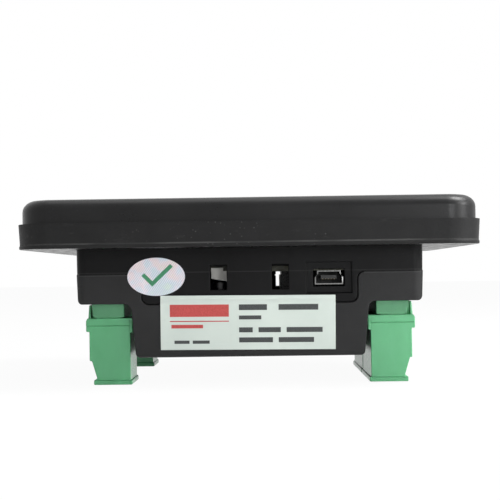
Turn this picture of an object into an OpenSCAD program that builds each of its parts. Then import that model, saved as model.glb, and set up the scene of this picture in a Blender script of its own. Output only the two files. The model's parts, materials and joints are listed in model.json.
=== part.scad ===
// Panel-mount generator set controller, lying face up on its terminal plugs.
// X runs along the wide side, Y away from the programming port, Z towards the front face.
// The origin lies on the plane of the plug feet, below the middle of the housing.

/* [Bezel] */
// Width of the front bezel
bezel_w = 125; // [120:0.5:130]
// Depth of the front bezel across its short side
bezel_d = 105; // [100:0.5:110]
// Thickness of the bezel from its rear rim to the front face
bezel_h = 11.5; // [10.8:0.1:12.4]
// Corner radius of the bezel in plan
bezel_r = 9; // [7:0.5:11]
// How far the rounded front edge reaches in over the face
edge_in = 3.8; // [3:0.1:5.5]
// How far the rounded front edge reaches down the side
edge_down = 3.2; // [2:0.1:3.8]
// Wall of the front face
front_wall = 2.4; // [2:0.1:3]
// Wall of the bezel rim
rim_wall = 2.4; // [2:0.1:3]
// Thickness of the stiffening ribs behind the rim
rib_t = 1.4; // [1:0.1:2]
// Spacing of the stiffening ribs
rib_pitch = 20; // [16:1:24]

/* [Gasket] */
// Thickness of the gasket band around the rim
gasket_wall = 1.1; // [0.8:0.1:1.4]
// Thickness of the gasket flange under the rim
gasket_base = 2; // [1.5:0.1:2.6]
// Height of the gasket band
gasket_h = 6.9; // [6:0.1:7.6]
// Height of the bead along the lower edge of the band
gasket_bead = 1.1; // [0.8:0.1:1.4]
// How far the bead stands back from the upper edge of the band
bead_back = 0.15; // [0.05:0.05:0.25]
// How far the band draws in above the bead
gasket_waist = 0.35; // [0.25:0.05:0.45]
// Fit of the gasket on the rim
gasket_fit = 0.1; // [0.05:0.05:0.2]
// Gap between the gasket flange and the neck
gasket_gap = 0.4; // [0.2:0.1:0.8]

/* [Housing] */
// Width of the neck that passes the panel cut-out
neck_w = 97; // [95:0.2:98]
// Depth of the neck
neck_d = 84; // [83.6:0.2:86]
// Corner radius of the neck in plan
neck_r = 3; // [2.5:0.1:4]
// Draft of the neck sides in degrees
side_draft = 2.2; // [1.6:0.1:2.6]
// Wall of the housing
wall = 2; // [1.8:0.1:2.2]
// Distance from the panel plane down to the seam on the shoulders
seam_drop = 7; // [6.9:0.1:7.6]
// Gap that shows along the seam
seam_gap = 0.15; // [0.1:0.05:0.25]
// How far the rear cover stands out past the neck
cover_proud = 0.15; // [0.05:0.05:0.2]
// Height of the lap lip inside the seam
lip_h = 1.5; // [1.2:0.1:2]
// Thickness of the lap lip
lip_t = 1.2; // [1:0.05:1.3]
// Distance from the panel plane down to the shoulder
shoulder_drop = 15.2; // [14.6:0.1:15.3]
// Radius of the outer shoulder edge
shoulder_r = 1.2; // [0.8:0.1:1.6]
// Width of the tongue that drops from the front case
tongue_w = 60; // [58:0.5:61]
// Distance from the panel plane down to the end of the tongue
tongue_drop = 15.5; // [15.3:0.1:16]
// Radius of the tongue corners
tongue_r = 2; // [1.5:0.1:2.5]
// Width of the deep rear block where it leaves the shoulder
block_w = 66; // [65:0.2:66.4]
// Draft of the rear block sides in degrees
block_draft = 4.8; // [4:0.1:6]
// Draft of the rear block ends in degrees
face_draft = 5; // [3:0.5:7]
// Fillet between shoulder and rear block
block_fillet = 1.9; // [1.5:0.1:2]
// Radius of the rear edges of the block
block_edge_r = 1.2; // [0.8:0.1:1.6]
// Distance from the panel plane down to the rear face
rear_drop = 30.3; // [29:0.1:31.5]

/* [Clip slots and port] */
// Distance of each clip slot from the middle
slot_x = 8.6; // [8:0.1:9.4]
// Width of a clip slot
slot_w = 4.6; // [4.4:0.1:5]
// Height of a clip slot
slot_h = 6.4; // [6:0.1:6.8]
// Distance from the panel plane down to the top of a clip slot
slot_drop = 5.3; // [5:0.1:5.6]
// Bevel over the top edge of a clip slot
slot_bevel = 0.5; // [0.4:0.1:1]
// Position of the port along the near wall
port_x = 22.1; // [20.5:0.1:22.2]
// Width of the port shell
port_w = 7.9; // [7.6:0.1:8.1]
// Height of the port shell
port_h = 3.95; // [3.8:0.05:4.1]
// Length of the port shell
port_l = 9.2; // [8.4:0.1:9.4]
// Wall of the port shell
port_wall = 0.35; // [0.25:0.05:0.4]
// Gap around the port shell in the wall
port_gap = 0.4; // [0.2:0.05:0.5]
// Width of the shallow pocket around the port
pocket_w = 12.7; // [12:0.1:13.2]
// Height of the shallow pocket around the port
pocket_h = 8.6; // [8.2:0.1:9]
// Depth of the shallow pocket around the port
pocket_t = 0.8; // [0.5:0.1:1]

/* [Front face] */
// Width of the front overlay
overlay_w = 106; // [100:0.5:110]
// Depth of the front overlay
overlay_d = 88; // [84:0.5:92]
// Corner radius of the front overlay
overlay_r = 5; // [3:0.5:6]
// Thickness of the front overlay
overlay_t = 0.5; // [0.4:0.05:0.6]
// Gap around the overlay in its recess
overlay_gap = 0.15; // [0.1:0.05:0.3]
// Width of the display opening
window_w = 62; // [58:0.5:63]
// Depth of the display opening
window_d = 37; // [34:0.5:37.5]
// Position of the display across the face
window_y = 8; // [7:0.1:8.2]
// How far the overlay covers the edge of the window
window_cover = 1; // [0.6:0.1:1.5]
// How far the window flange reaches behind the front wall
window_flange = 1.8; // [1.5:0.1:2]
// Thickness of the window flange
window_flange_t = 0.8; // [0.6:0.1:1]
// Gap around the window in its opening
window_gap = 0.1; // [0.05:0.05:0.2]
// Thickness of the display glass
glass_t = 2; // [1.6:0.1:2.2]
// Thickness of the backlight under the glass
backlight_t = 3.4; // [3.2:0.1:3.8]
// Rim of the display frame around the glass
frame_rim = 2; // [1.6:0.1:2.1]

/* [Keys] */
// Diameter of a key
key_d = 11; // [9:0.5:12]
// Spacing of the keys
key_pitch = 18; // [17:0.5:18.5]
// Position of the row of keys across the face
key_y = -27; // [-28:0.1:-26.5]
// How far a key stands out of the face
key_proud = 0.8; // [0.5:0.1:1.2]
// Gap around a key in its opening
key_gap = 0.25; // [0.2:0.05:0.4]
// How far the key flange reaches behind the front wall
key_flange = 0.8; // [0.6:0.1:1]
// Gap between key flange and front wall
key_seat_gap = 0.2; // [0.1:0.05:0.3]
// Travel of a key
key_travel = 0.8; // [0.5:0.1:0.8]
// Side of a key switch
switch_w = 6.2; // [6:0.1:7]
// Height of a key switch
switch_h = 3.4; // [3.2:0.1:3.6]
// Diameter of a switch plunger
plunger_d = 3.5; // [3:0.1:4]
// How far a plunger stands out of its switch
plunger_out = 1; // [0.9:0.05:1.1]
// Gap around a plunger in its switch
plunger_gap = 0.2; // [0.15:0.05:0.3]

/* [Indicator lights] */
// Diameter of a light guide
light_d = 2.8; // [2.4:0.1:3.2]
// Distance of the row of lights from the display frame
light_gap = 5; // [4.6:0.1:5.4]
// Position of the first light across the face
light_y = 22; // [20:0.5:24]
// Spacing of the lights
light_pitch = 8; // [7:0.5:9]

/* [Boards] */
// Thickness of the circuit boards
board_t = 1.6; // [1.4:0.1:1.8]
// Gap between a board edge and the housing wall
board_gap = 0.7; // [0.5:0.1:0.9]
// Distance from the main board underside up to the panel plane
board_drop = 6.7; // [6.5:0.1:7]
// Distance of the case screws from the middle along the wide side
screw_x = 26; // [25.6:0.1:26.4]
// Distance of the two case screws by the display from the middle along the short side
screw_far = 34.7; // [34.4:0.1:34.8]
// Distance of the two case screws by the keys from the middle along the short side
screw_near = 20; // [19.6:0.1:20.2]
// Thread diameter of the case screws
screw_d = 2.9; // [2.6:0.1:3]
// Head diameter of the case screws
screw_head_d = 5.4; // [5:0.1:5.6]
// Head height of the case screws
screw_head_h = 2; // [1.6:0.1:2.4]
// How deep the case screws bite above the main board
screw_bite = 8; // [6:0.5:9]
// Web of the screw columns under the main board
column_web = 5; // [4:0.5:7]
// Distance of the display board screws from the middle along the wide side
small_screw_x = 41; // [40.6:0.1:41.4]
// Distance of the display board screws from the middle along the short side
small_screw_y = 35; // [34.4:0.1:35.4]
// Thread diameter of the display board screws
small_screw_d = 1.9; // [1.7:0.1:2.1]

/* [Terminals] */
// Pitch of the terminals
pitch = 5.08; // [5:0.02:5.08]
// Poles of the near plug on the left
left_near_poles = 3; // [2:1:6]
// Poles of the far plug on the left
left_far_poles = 3; // [2:1:3]
// Poles of the near plug on the right
right_near_poles = 5; // [2:1:7]
// Poles of the far plug on the right
right_far_poles = 6; // [2:1:7]
// Distance from the near wall to the near plugs
row_inset = 3; // [3:0.1:4]
// Distance from the near wall to the far plug on the left
left_far_start = 63; // [50:0.5:63]
// Distance of the inner header wall from the middle
header_in = 35.3; // [35.2:0.05:35.4]
// Thickness of a header across its row
header_w = 9.2; // [9:0.1:9.3]
// Height of a header under the main board
header_h = 12.4; // [12.2:0.1:12.8]
// Wall of a header along its row
header_wall = 1; // [0.9:0.05:1.1]
// How far the outer wall of a header falls back at its mouth
header_wedge = 0.7; // [0.4:0.05:0.75]
// Wall of a header at the ends of its row
header_end = 0.6; // [0.5:0.05:0.65]
// Depth of the header cavity
header_cavity = 8.7; // [8.4:0.1:9.2]
// Side of a contact pin
pin_w = 1; // [0.8:0.05:1.1]
// Height of the plug body under the header
plug_h = 18.7; // [18.3:0.1:19.2]
// Thickness of the plug body across its row
plug_w = 11.55; // [11.4:0.05:11.7]
// How far the latch nose stands out of the plug body
nose_out = 0.9; // [0.6:0.1:1.1]
// Height of the latch nose
nose_h = 3.8; // [3.2:0.1:4]
// Height of the collar round the top of a plug
collar_h = 2.2; // [1.8:0.1:2.6]
// How far the ends of a plug fall back under the collar
end_step = 0.15; // [0.1:0.05:0.25]
// Height of the plug foot
foot_h = 1.3; // [1:0.1:1.6]
// How far the plug foot reaches past the inner face
foot_in = 0.45; // [0.3:0.05:0.5]
// How far the plug foot stands back from the outer face
foot_back = 1.2; // [1:0.1:1.4]
// Height of the step above the slanted marker face
step_z = 6.7; // [6.2:0.1:6.8]
// Depth of the step above the slanted marker face
step_in = 0.65; // [0.4:0.05:0.8]
// How far the slanted marker face falls back at the foot
slant_in = 2.1; // [1.8:0.1:2.4]
// Gap between header and plug shoulder
plug_gap = 0.2; // [0.15:0.05:0.3]
// Gap between the plug and the walls of the header cavity
plug_fit = 0.25; // [0.2:0.05:0.35]

/* [Hidden] */
// Heights above the plug feet
mouth_z = plug_h + plug_gap;
board_z = mouth_z + header_h;
board_top = board_z + board_t;
panel_z = board_z + board_drop;
rim_z = panel_z + gasket_base;
face_z = rim_z + bezel_h;
overlay_z = face_z - overlay_t;
ceiling_z = face_z - front_wall;
seam_z = panel_z - seam_drop;
shoulder_z = panel_z - shoulder_drop;
tongue_z = panel_z - tongue_drop;
rear_z = panel_z - rear_drop;
slot_top = panel_z - slot_drop;
glass_top = ceiling_z - window_flange_t;
display_top = glass_top - glass_t - backlight_t;
display_z = display_top - board_t;
plunger_top = display_top + switch_h + plunger_out;
seat_z = board_z - column_web;

// Plan sizes
wall_y = neck_d / 2;
board_half_y = wall_y - wall - 0.4;
header_out = header_in + header_w;
pin_u = header_in + header_w / 2;
plug_inner = header_in - 1.6;
plug_outer = plug_inner + plug_w;
glass_w = window_w + 2 * window_flange;
glass_d = window_d + 2 * window_flange;
light_x = glass_w / 2 + frame_rim + light_gap;
led_h = 0.9;
port_front = -wall_y + pocket_t - 0.2;
key_count = 5;
light_count = 4;
over = 1;
fine = 48;

// Plug cavities, measured from the foot and from the inner face
bore_r = 2.1;
clamp_screw_r = 1.3;
chamber_z0 = 7;
chamber_z1 = 13.4;
chamber_u0 = plug_inner + 3.4;
chamber_u1 = plug_inner + 8.4;
chamber_half = 2;
entry_half = 1.7;
screw_u = (chamber_u0 + chamber_u1) / 2;
cage_fit = 0.1;
cage_wall = 0.6;
plug_tip = mouth_z + header_cavity - 0.6;

// Terminal rows: side, poles, start of the row
near_start = -wall_y + row_inset;
row_step = 2 * header_end + 0.25;
right_far_start = near_start + right_near_poles * pitch + row_step;
LN = [-1, left_near_poles, near_start];
LF = [-1, left_far_poles, -wall_y + left_far_start];
RN = [1, right_near_poles, near_start];
RF = [1, right_far_poles, right_far_start];
ROWS = [LN, LF, RN, RF];

// Power parts under the main board: place of each relay and capacitor
relay_size = [19, 15.5, 15.5];
relay_x = 18.48;
relay_y = [-6, 12];
capacitor_r = 6.3;
capacitor_h = 18;
capacitor_places = [[-8.6, -26], [-22, -31]];
choke_place = [1.75, -2];
choke_r = 6;
choke_h = 9;
link_y = -33.5;
link_pins = 10;
link_pitch = 2.54;
link_half = 1.25;
link_floor = 1.5;
link_pin_half = 0.32;
processor_w = 14;
processor_h = 1.4;
processor_place = [12, 6];
notch_half = slot_w / 2 + 0.6;
notch_d = 4.4;
socket_x0 = -slot_x - 2.2;
socket_x1 = -slot_x + 2.3;
socket_z = board_z - 2.75;
socket_top = board_top - 0.5;
socket_t = 1.8;
socket_l = 2.4;

// Points along an arc
function arc(cx, cy, r, a0, a1, n = 6) =
    [for (i = [0 : n]) let (a = a0 + (a1 - a0) * i / n) [cx + r * cos(a), cy + r * sin(a)]];

// Outline of a rectangle with round corners
function round_box(w, d, r, n = 8) = concat(
    arc(w / 2 - r, d / 2 - r, r, 0, 90, n),
    arc(r - w / 2, d / 2 - r, r, 90, 180, n),
    arc(r - w / 2, r - d / 2, r, 180, 270, n),
    arc(w / 2 - r, r - d / 2, r, 270, 360, n));

// The other half of a symmetric outline, in running order
function other_half(points) =
    [for (i = [len(points) - 1 : -1 : 0]) [-points[i][0], points[i][1]]];

function neck_half(z) = neck_w / 2 + (z - panel_z) * tan(side_draft);
function block_half(z) = block_w / 2 + (z - shoulder_z) * tan(block_draft);
function face_half(z) = wall_y + (z - tongue_z) * tan(face_draft);

// Right half of the rear cover seen from the near wall, drawn in by t
function rear_half(t, top) = let (
        shoulder_c = max(shoulder_r - t, 0.3),
        fillet_x = block_half(shoulder_z - block_fillet) + block_fillet / cos(block_draft),
        corner_c = max(block_edge_r - t, 0.3),
        corner_z = rear_z + t + corner_c,
        corner_x = block_half(corner_z) - (t + corner_c) / cos(block_draft))
    concat(
        [[neck_half(top) - t, top]],
        arc(neck_half(shoulder_z) - t - shoulder_c, shoulder_z + t + shoulder_c, shoulder_c, 0, -90),
        arc(fillet_x, shoulder_z - block_fillet, block_fillet + t, 90, 180 - block_draft),
        arc(corner_x, corner_z, corner_c, -block_draft, -90));

// Near half of the rear cover seen from the side, drawn in by t
function end_half(t, top) = let (
        corner_c = max(block_edge_r - t, 0.3),
        corner_z = rear_z + t + corner_c)
    concat(
        [[wall_y - t, top], [wall_y - t, tongue_z + t * tan(face_draft / 2)]],
        arc(face_half(corner_z) - (t + corner_c) / cos(face_draft), corner_z, corner_c,
            -face_draft, -90));

// Outline of the tongue from its flared root to its round end, grown by g
function tongue_half(g) = let (
        root = tongue_w / 2 + g,
        flare = tongue_r - g,
        end_r = tongue_r + g)
    concat(
        [[root + flare, seam_z + over]],
        arc(root + flare, seam_z - g - flare, flare, 90, 180),
        arc(root - end_r, tongue_z - g + end_r, end_r, 0, -90));

// Outline of the port shell, drawn in by t
function port_outline(t) = let (
        half = port_w / 2 - t,
        top_half = half - 0.65,
        low = board_z - port_h + t)
    [[-half, low], [half, low], [half, low + 2], [top_half, low + 2.8], [top_half, board_z - t],
     [-top_half, board_z - t], [-top_half, low + 2.8], [-half, low + 2]];

// Cross-section of a plug body
function plug_profile() = concat([
    [plug_inner, plug_h], [plug_inner, foot_h], [plug_inner - foot_in, foot_h],
    [plug_inner - foot_in, 0], [plug_outer - foot_back, 0], [plug_outer - foot_back, foot_h],
    [plug_outer - slant_in, foot_h + 0.5], [plug_outer - step_in, step_z], [plug_outer, step_z],
    [plug_outer, plug_h - nose_h], [plug_outer + nose_out, plug_h - nose_h]], nose_edge());

// Cross-section of the collar round the top of a plug
function collar_profile() = concat([
    [plug_inner, plug_h], [plug_inner, plug_h - collar_h], [plug_outer + nose_out, plug_h - collar_h]],
    nose_edge());

// Bevelled upper edge of the latch nose
function nose_edge() =
    [[plug_outer + nose_out, plug_h - 0.8], [plug_outer + nose_out - 0.4, plug_h]];

function row_end(row) = row[2] + row[1] * pitch;
function pole_y(row, i) = row[2] + (i + 0.5) * pitch;

module box(x0, x1, y0, y1, z0, z1) {
    translate([x0, y0, z0])
        cube([x1 - x0, y1 - y0, z1 - z0]);
}

module along_y(y0, y1) {
    translate([0, y1, 0])
        rotate([90, 0, 0])
            linear_extrude(y1 - y0)
                children();
}

module along_x(x0, x1) {
    translate([x0, 0, 0])
        rotate([90, 0, 90])
            linear_extrude(x1 - x0)
                children();
}

module along_z(z0, z1) {
    translate([0, 0, z0])
        linear_extrude(z1 - z0)
            children();
}

module rod(x, y, r, z0, z1) {
    translate([x, y, z0])
        cylinder(r = r, h = z1 - z0, $fn = fine);
}

// Places a child on each of the four corners
module four_corners(x, y) {
    for (sx = [-1, 1])
        for (sy = [-1, 1])
            translate([sx * x, sy * y, 0])
                children();
}

// Places a child on each of the case screws
module case_screw_places() {
    for (sx = [-1, 1])
        for (y = [-screw_near, screw_far])
            translate([sx * screw_x, y, 0])
                children();
}

// Draws a right-hand shape on the side of its row
module on_side(row) {
    if (row[0] < 0)
        mirror([1, 0, 0])
            children();
    else
        children();
}

// Block of the neck between two heights, drawn in by t
module neck_form(t, z0, z1) {
    intersection() {
        along_z(z0, z1)
            polygon(round_box(neck_w - 2 * t, neck_d - 2 * t, max(neck_r - t, 0.6)));
        along_y(-wall_y, wall_y)
            polygon([[-neck_half(z0) + t, z0], [neck_half(z0) - t, z0],
                     [neck_half(z1) - t, z1], [-neck_half(z1) + t, z1]]);
    }
}

// Block of the rear cover below a height, drawn in by t
module rear_form(t, top) {
    half = rear_half(t, top);
    end = end_half(t, top);
    intersection() {
        along_y(t - wall_y, wall_y - t)
            polygon(concat(half, other_half(half)));
        along_x(t - neck_w / 2, neck_w / 2 - t)
            polygon(concat(end, other_half(end)));
        along_z(rear_z - over, top)
            polygon(round_box(neck_w - 2 * t, neck_d - 2 * t, max(neck_r - t, 0.6)));
    }
}

// Tongue of both long walls, grown by g
module tongue_form(g) {
    half = tongue_half(g);
    depth = g > 0 ? wall + over : wall;
    for (s = [-1, 1])
        translate([0, s * (wall_y - wall + depth / 2), 0])
            along_y(-depth / 2, depth / 2)
                polygon(concat(half, other_half(half)));
}

// Rounded slab of the bezel
module bezel_form() {
    steps = 6;
    slice = 0.02;
    hull() {
        along_z(rim_z, rim_z + slice)
            polygon(round_box(bezel_w, bezel_d, bezel_r));
        for (i = [0 : steps]) {
            a = 90 * i / steps;
            inset = edge_in * (1 - cos(a));
            top = face_z - edge_down * (1 - sin(a));
            along_z(top - slice, top)
                polygon(round_box(bezel_w - 2 * inset, bezel_d - 2 * inset, bezel_r - inset));
        }
    }
}

// Hollow ring behind the bezel, left open between its ribs
module rim_channel() {
    rib_xs = [for (x = [0 : rib_pitch : neck_w / 2 - rib_t]) x];
    rib_ys = [for (y = [rib_pitch / 2 : rib_pitch : neck_d / 2 - rib_t]) y];
    difference() {
        along_z(rim_z - over, ceiling_z)
            difference() {
                polygon(round_box(bezel_w - 2 * rim_wall, bezel_d - 2 * rim_wall, bezel_r - rim_wall));
                polygon(round_box(neck_w, neck_d, neck_r));
            }
        for (x = rib_xs)
            for (s = x == 0 ? [1] : [-1, 1])
                box(s * x - rib_t / 2, s * x + rib_t / 2, -bezel_d, bezel_d, rim_z - 2 * over, face_z);
        for (y = rib_ys)
            for (s = [-1, 1])
                box(-bezel_w, bezel_w, s * y - rib_t / 2, s * y + rib_t / 2, rim_z - 2 * over, face_z);
    }
}

// Openings of both long walls for the fixing clips
module clip_slots() {
    for (sx = [-1, 1])
        for (sy = [-1, 1]) {
            x = sx * slot_x;
            outer = sy * wall_y;
            box(x - slot_w / 2, x + slot_w / 2, outer - wall - over, outer + wall + over,
                slot_top - slot_h, slot_top);
            along_x(x - slot_w / 2, x + slot_w / 2)
                polygon([[outer - sy * wall, slot_top - over], [outer - sy * wall, slot_top],
                         [outer, slot_top + slot_bevel], [outer + sy * over, slot_top + slot_bevel],
                         [outer + sy * over, slot_top - over]]);
        }
}

function port_z() = board_z - port_h / 2;

module front_case() {
    window_r = 1;
    color([0.13, 0.13, 0.13])
    difference() {
        union() {
            difference() {
                union() {
                    bezel_form();
                    neck_form(0, seam_z, ceiling_z);
                    intersection() {
                        tongue_form(0);
                        neck_form(0, tongue_z - over, ceiling_z);
                    }
                    difference() {
                        neck_form(wall - lip_t, seam_z - lip_h, seam_z + over);
                        neck_form(wall, seam_z - lip_h - over, seam_z + 2 * over);
                    }
                }
                neck_form(wall, seam_z - over / 2, ceiling_z);
                rim_channel();
            }
            case_screw_places()
                rod(0, 0, screw_d / 2 + 2, board_top, ceiling_z + over / 2);
            four_corners(small_screw_x, small_screw_y)
                rod(0, 0, small_screw_d / 2 + 1.6, display_top, ceiling_z + over / 2);
        }
        along_z(overlay_z, face_z + over)
            polygon(round_box(overlay_w, overlay_d, overlay_r));
        translate([0, window_y, 0])
            along_z(ceiling_z - over, face_z)
                polygon(round_box(window_w, window_d, window_r, 4));
        for (i = [0 : key_count - 1])
            rod(key_x(i), key_y, key_d / 2 + key_gap, ceiling_z - over, face_z + over);
        for (i = [0 : light_count - 1])
            rod(light_x, light_y - i * light_pitch, light_d / 2 + 0.1, ceiling_z - over, face_z);
        case_screw_places()
            rod(0, 0, screw_d / 2 + 0.05, board_top - over, board_top + screw_bite + 1);
        four_corners(small_screw_x, small_screw_y)
            rod(0, 0, small_screw_d / 2 + 0.05, display_top - over, ceiling_z - 1);
        clip_slots();
        box(port_x - pocket_w / 2, port_x + pocket_w / 2, -wall_y - over, -wall_y + pocket_t,
            port_z() - pocket_h / 2, port_z() + pocket_h / 2);
        box(port_x - port_w / 2 - port_gap, port_x + port_w / 2 + port_gap, -wall_y - over,
            -wall_y + wall + over, board_z - port_h - port_gap, board_z + port_gap);
    }
}

function key_x(i) = (i - (key_count - 1) / 2) * key_pitch;

module sealing_gasket() {
    outer_w = bezel_w + 2 * gasket_wall;
    outer_d = bezel_d + 2 * gasket_wall;
    outer_r = bezel_r + gasket_wall;
    band = [[bead_back, panel_z], [bead_back, panel_z + gasket_bead * 0.7],
            [gasket_waist, panel_z + gasket_bead], [0, panel_z + gasket_h]];
    slice = 0.02;
    color([0.15, 0.15, 0.15])
    difference() {
        for (i = [0 : len(band) - 2])
            hull()
                for (k = [i, i + 1]) {
                    inset = band[k][0];
                    low = k == i ? band[k][1] : band[k][1] - slice;
                    along_z(low, low + slice)
                        polygon(round_box(outer_w - 2 * inset, outer_d - 2 * inset, outer_r - inset));
                }
        along_z(rim_z, panel_z + gasket_h + over)
            polygon(round_box(bezel_w + 2 * gasket_fit, bezel_d + 2 * gasket_fit, bezel_r + gasket_fit));
        along_z(panel_z - over, rim_z + over)
            polygon(round_box(neck_w + 2 * gasket_gap, neck_d + 2 * gasket_gap, neck_r + gasket_gap));
    }
}

module rear_cover() {
    column_r = screw_head_d / 2 + 1.2;
    opening_gap = 0.35;
    color([0.19, 0.19, 0.19])
    difference() {
        union() {
            difference() {
                rear_form(-cover_proud, seam_z - seam_gap);
                rear_form(wall, seam_z);
                difference() {
                    neck_form(wall - lip_t - 0.1, seam_z - lip_h - 0.1, seam_z + over);
                    along_z(seam_z - lip_h - over, seam_z - lip_h - 0.1)
                        square([neck_w, neck_d], center = true);
                }
                tongue_form(seam_gap);
            }
            intersection() {
                case_screw_places()
                    rod(0, 0, column_r, rear_z, board_z);
                union() {
                    rear_form(wall / 2, seam_z - 2 * lip_h);
                    case_screw_places()
                        rod(0, 0, column_r, seam_z - 2 * lip_h - over, board_z);
                }
            }
        }
        case_screw_places() {
            rod(0, 0, screw_head_d / 2 + 0.2, rear_z - over, seat_z);
            rod(0, 0, screw_d / 2 + 0.2, rear_z, board_z + over);
        }
        for (row = ROWS)
            on_side(row)
                box(header_in - opening_gap, header_out + opening_gap,
                    row[2] - header_end - opening_gap, row_end(row) + header_end + opening_gap,
                    shoulder_z - over, shoulder_z + wall + over);
    }
}

module front_overlay() {
    cover_w = window_w - 2 * window_cover;
    cover_d = window_d - 2 * window_cover;
    color([0.2, 0.22, 0.25])
    difference() {
        along_z(overlay_z, face_z)
            polygon(round_box(overlay_w - 2 * overlay_gap, overlay_d - 2 * overlay_gap,
                              overlay_r - overlay_gap));
        translate([0, window_y, 0])
            along_z(overlay_z - over, face_z + over)
                polygon(round_box(cover_w, cover_d, 1, 4));
        for (i = [0 : key_count - 1])
            rod(key_x(i), key_y, key_d / 2 + key_gap, overlay_z - over, face_z + over);
    }
}

module display_window() {
    plate_w = window_w - 2 * window_gap;
    plate_d = window_d - 2 * window_gap;
    color([0.55, 0.65, 0.6])
    translate([0, window_y, 0]) {
        along_z(glass_top, ceiling_z)
            polygon(round_box(window_w + 2 * window_flange, window_d + 2 * window_flange, 1, 4));
        along_z(ceiling_z, overlay_z)
            polygon(round_box(plate_w, plate_d, 0.9, 4));
    }
}

module case_screws() {
    color([0.7, 0.7, 0.72])
    case_screw_places()
        difference() {
            union() {
                rod(0, 0, screw_head_d / 2, seat_z - screw_head_h, seat_z);
                rod(0, 0, screw_d / 2, seat_z, board_top + screw_bite);
            }
            for (a = [0, 90])
                rotate([0, 0, a])
                    box(-1.5, 1.5, -0.35, 0.35, seat_z - screw_head_h - over, seat_z - screw_head_h + 1.1);
        }
}

module lcd_glass() {
    color([0.45, 0.55, 0.45])
    translate([0, window_y, 0])
        along_z(glass_top - glass_t, glass_top)
            square([glass_w, glass_d], center = true);
}

module lcd_frame() {
    slack = 0.1;
    color([0.75, 0.75, 0.72])
    translate([0, window_y, 0])
        difference() {
            along_z(display_top, glass_top - glass_t / 2)
                polygon(round_box(glass_w + 2 * frame_rim, glass_d + 2 * frame_rim, 1, 4));
            along_z(glass_top - glass_t, glass_top)
                square([glass_w + 2 * slack, glass_d + 2 * slack], center = true);
        }
}

module display_board() {
    half_x = neck_half(display_z) - wall - board_gap;
    color([0.1, 0.35, 0.2])
    difference() {
        along_z(display_z, display_top)
            polygon(round_box(2 * min(half_x, neck_w / 2 - wall - board_gap), 2 * board_half_y, 1.5, 4));
        case_screw_places()
            rod(0, 0, screw_d / 2 + 2.4, display_z - over, display_top + over);
        four_corners(small_screw_x, small_screw_y)
            rod(0, 0, small_screw_d / 2 + 0.15, display_z - over, display_top + over);
        for (i = [0 : link_pins - 1])
            rod(link_x(i), link_y, link_pin_half + 0.23, display_z - over, display_top + over);
    }
}

function link_x(i) = (i - (link_pins - 1) / 2) * link_pitch;

module display_board_screws() {
    head_r = small_screw_d / 2 + 0.9;
    head_h = 1.3;
    color([0.7, 0.7, 0.72])
    four_corners(small_screw_x, small_screw_y)
        difference() {
            union() {
                rod(0, 0, head_r, display_z - head_h, display_z);
                rod(0, 0, small_screw_d / 2, display_z, ceiling_z - 2);
            }
            for (a = [0, 90])
                rotate([0, 0, a])
                    box(-1, 1, -0.25, 0.25, display_z - head_h - over, display_z - head_h + 0.7);
        }
}

// Key cap with its retaining flange and a shallow finger dish
module key_cap(i, tint) {
    dish_r = 24;
    dish_depth = 0.5;
    top = face_z + key_proud;
    color(tint)
    translate([key_x(i), key_y, 0])
        difference() {
            union() {
                rod(0, 0, key_d / 2 + key_gap + key_flange, plunger_top, ceiling_z - key_seat_gap);
                rod(0, 0, key_d / 2, ceiling_z - key_seat_gap, top);
            }
            translate([0, 0, top - dish_depth + dish_r])
                sphere(r = dish_r, $fn = 96);
        }
}

module key_stop() { key_cap(0, [0.75, 0.12, 0.1]); }
module key_manual() { key_cap(1, [0.8, 0.8, 0.78]); }
module key_auto() { key_cap(2, [0.8, 0.8, 0.78]); }
module key_test() { key_cap(3, [0.8, 0.8, 0.78]); }
module key_start() { key_cap(4, [0.15, 0.55, 0.25]); }

module plunger(i) {
    color([0.12, 0.12, 0.12])
    rod(key_x(i), key_y, plunger_d / 2, plunger_floor() + key_travel + 0.2, plunger_top);
}

function plunger_floor() = display_top + 0.8;

module plunger_stop() { plunger(0); }
module plunger_manual() { plunger(1); }
module plunger_auto() { plunger(2); }
module plunger_test() { plunger(3); }
module plunger_start() { plunger(4); }

module switch_bodies() {
    color([0.3, 0.3, 0.3])
    for (i = [0 : key_count - 1])
        translate([key_x(i), key_y, 0])
            difference() {
                box(-switch_w / 2, switch_w / 2, -switch_w / 2, switch_w / 2, display_top,
                    display_top + switch_h);
                rod(0, 0, plunger_d / 2 + plunger_gap, plunger_floor(), display_top + switch_h + over);
            }
}

module light_guides() {
    color([0.85, 0.88, 0.9])
    for (i = [0 : light_count - 1])
        translate([light_x, light_y - i * light_pitch, 0]) {
            rod(0, 0, light_d / 2, display_top + led_h + 0.1, overlay_z);
            rod(0, 0, light_d / 2 + 0.7, ceiling_z - 1, ceiling_z);
        }
}

module status_leds() {
    color([0.9, 0.85, 0.6])
    for (i = [0 : light_count - 1])
        translate([light_x, light_y - i * light_pitch, 0])
            box(-1.6, 1.6, -1, 1, display_top, display_top + led_h);
}

module main_board() {
    half_x = neck_half(board_z) - wall - board_gap;
    color([0.1, 0.35, 0.2])
    difference() {
        along_z(board_z, board_top)
            polygon(round_box(2 * half_x, 2 * board_half_y, 1.5, 4));
        case_screw_places()
            rod(0, 0, screw_d / 2 + 0.2, board_z - over, board_top + over);
        for (row = ROWS)
            on_side(row)
                for (i = [0 : row[1] - 1])
                    rod(pin_u, pole_y(row, i), pin_w * 0.72 + 0.1, board_z - over, board_top + over);
        four_corners(slot_x, board_half_y)
            box(-notch_half, notch_half, -notch_d, notch_d, board_z - over, board_top + over);
    }
}

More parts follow.
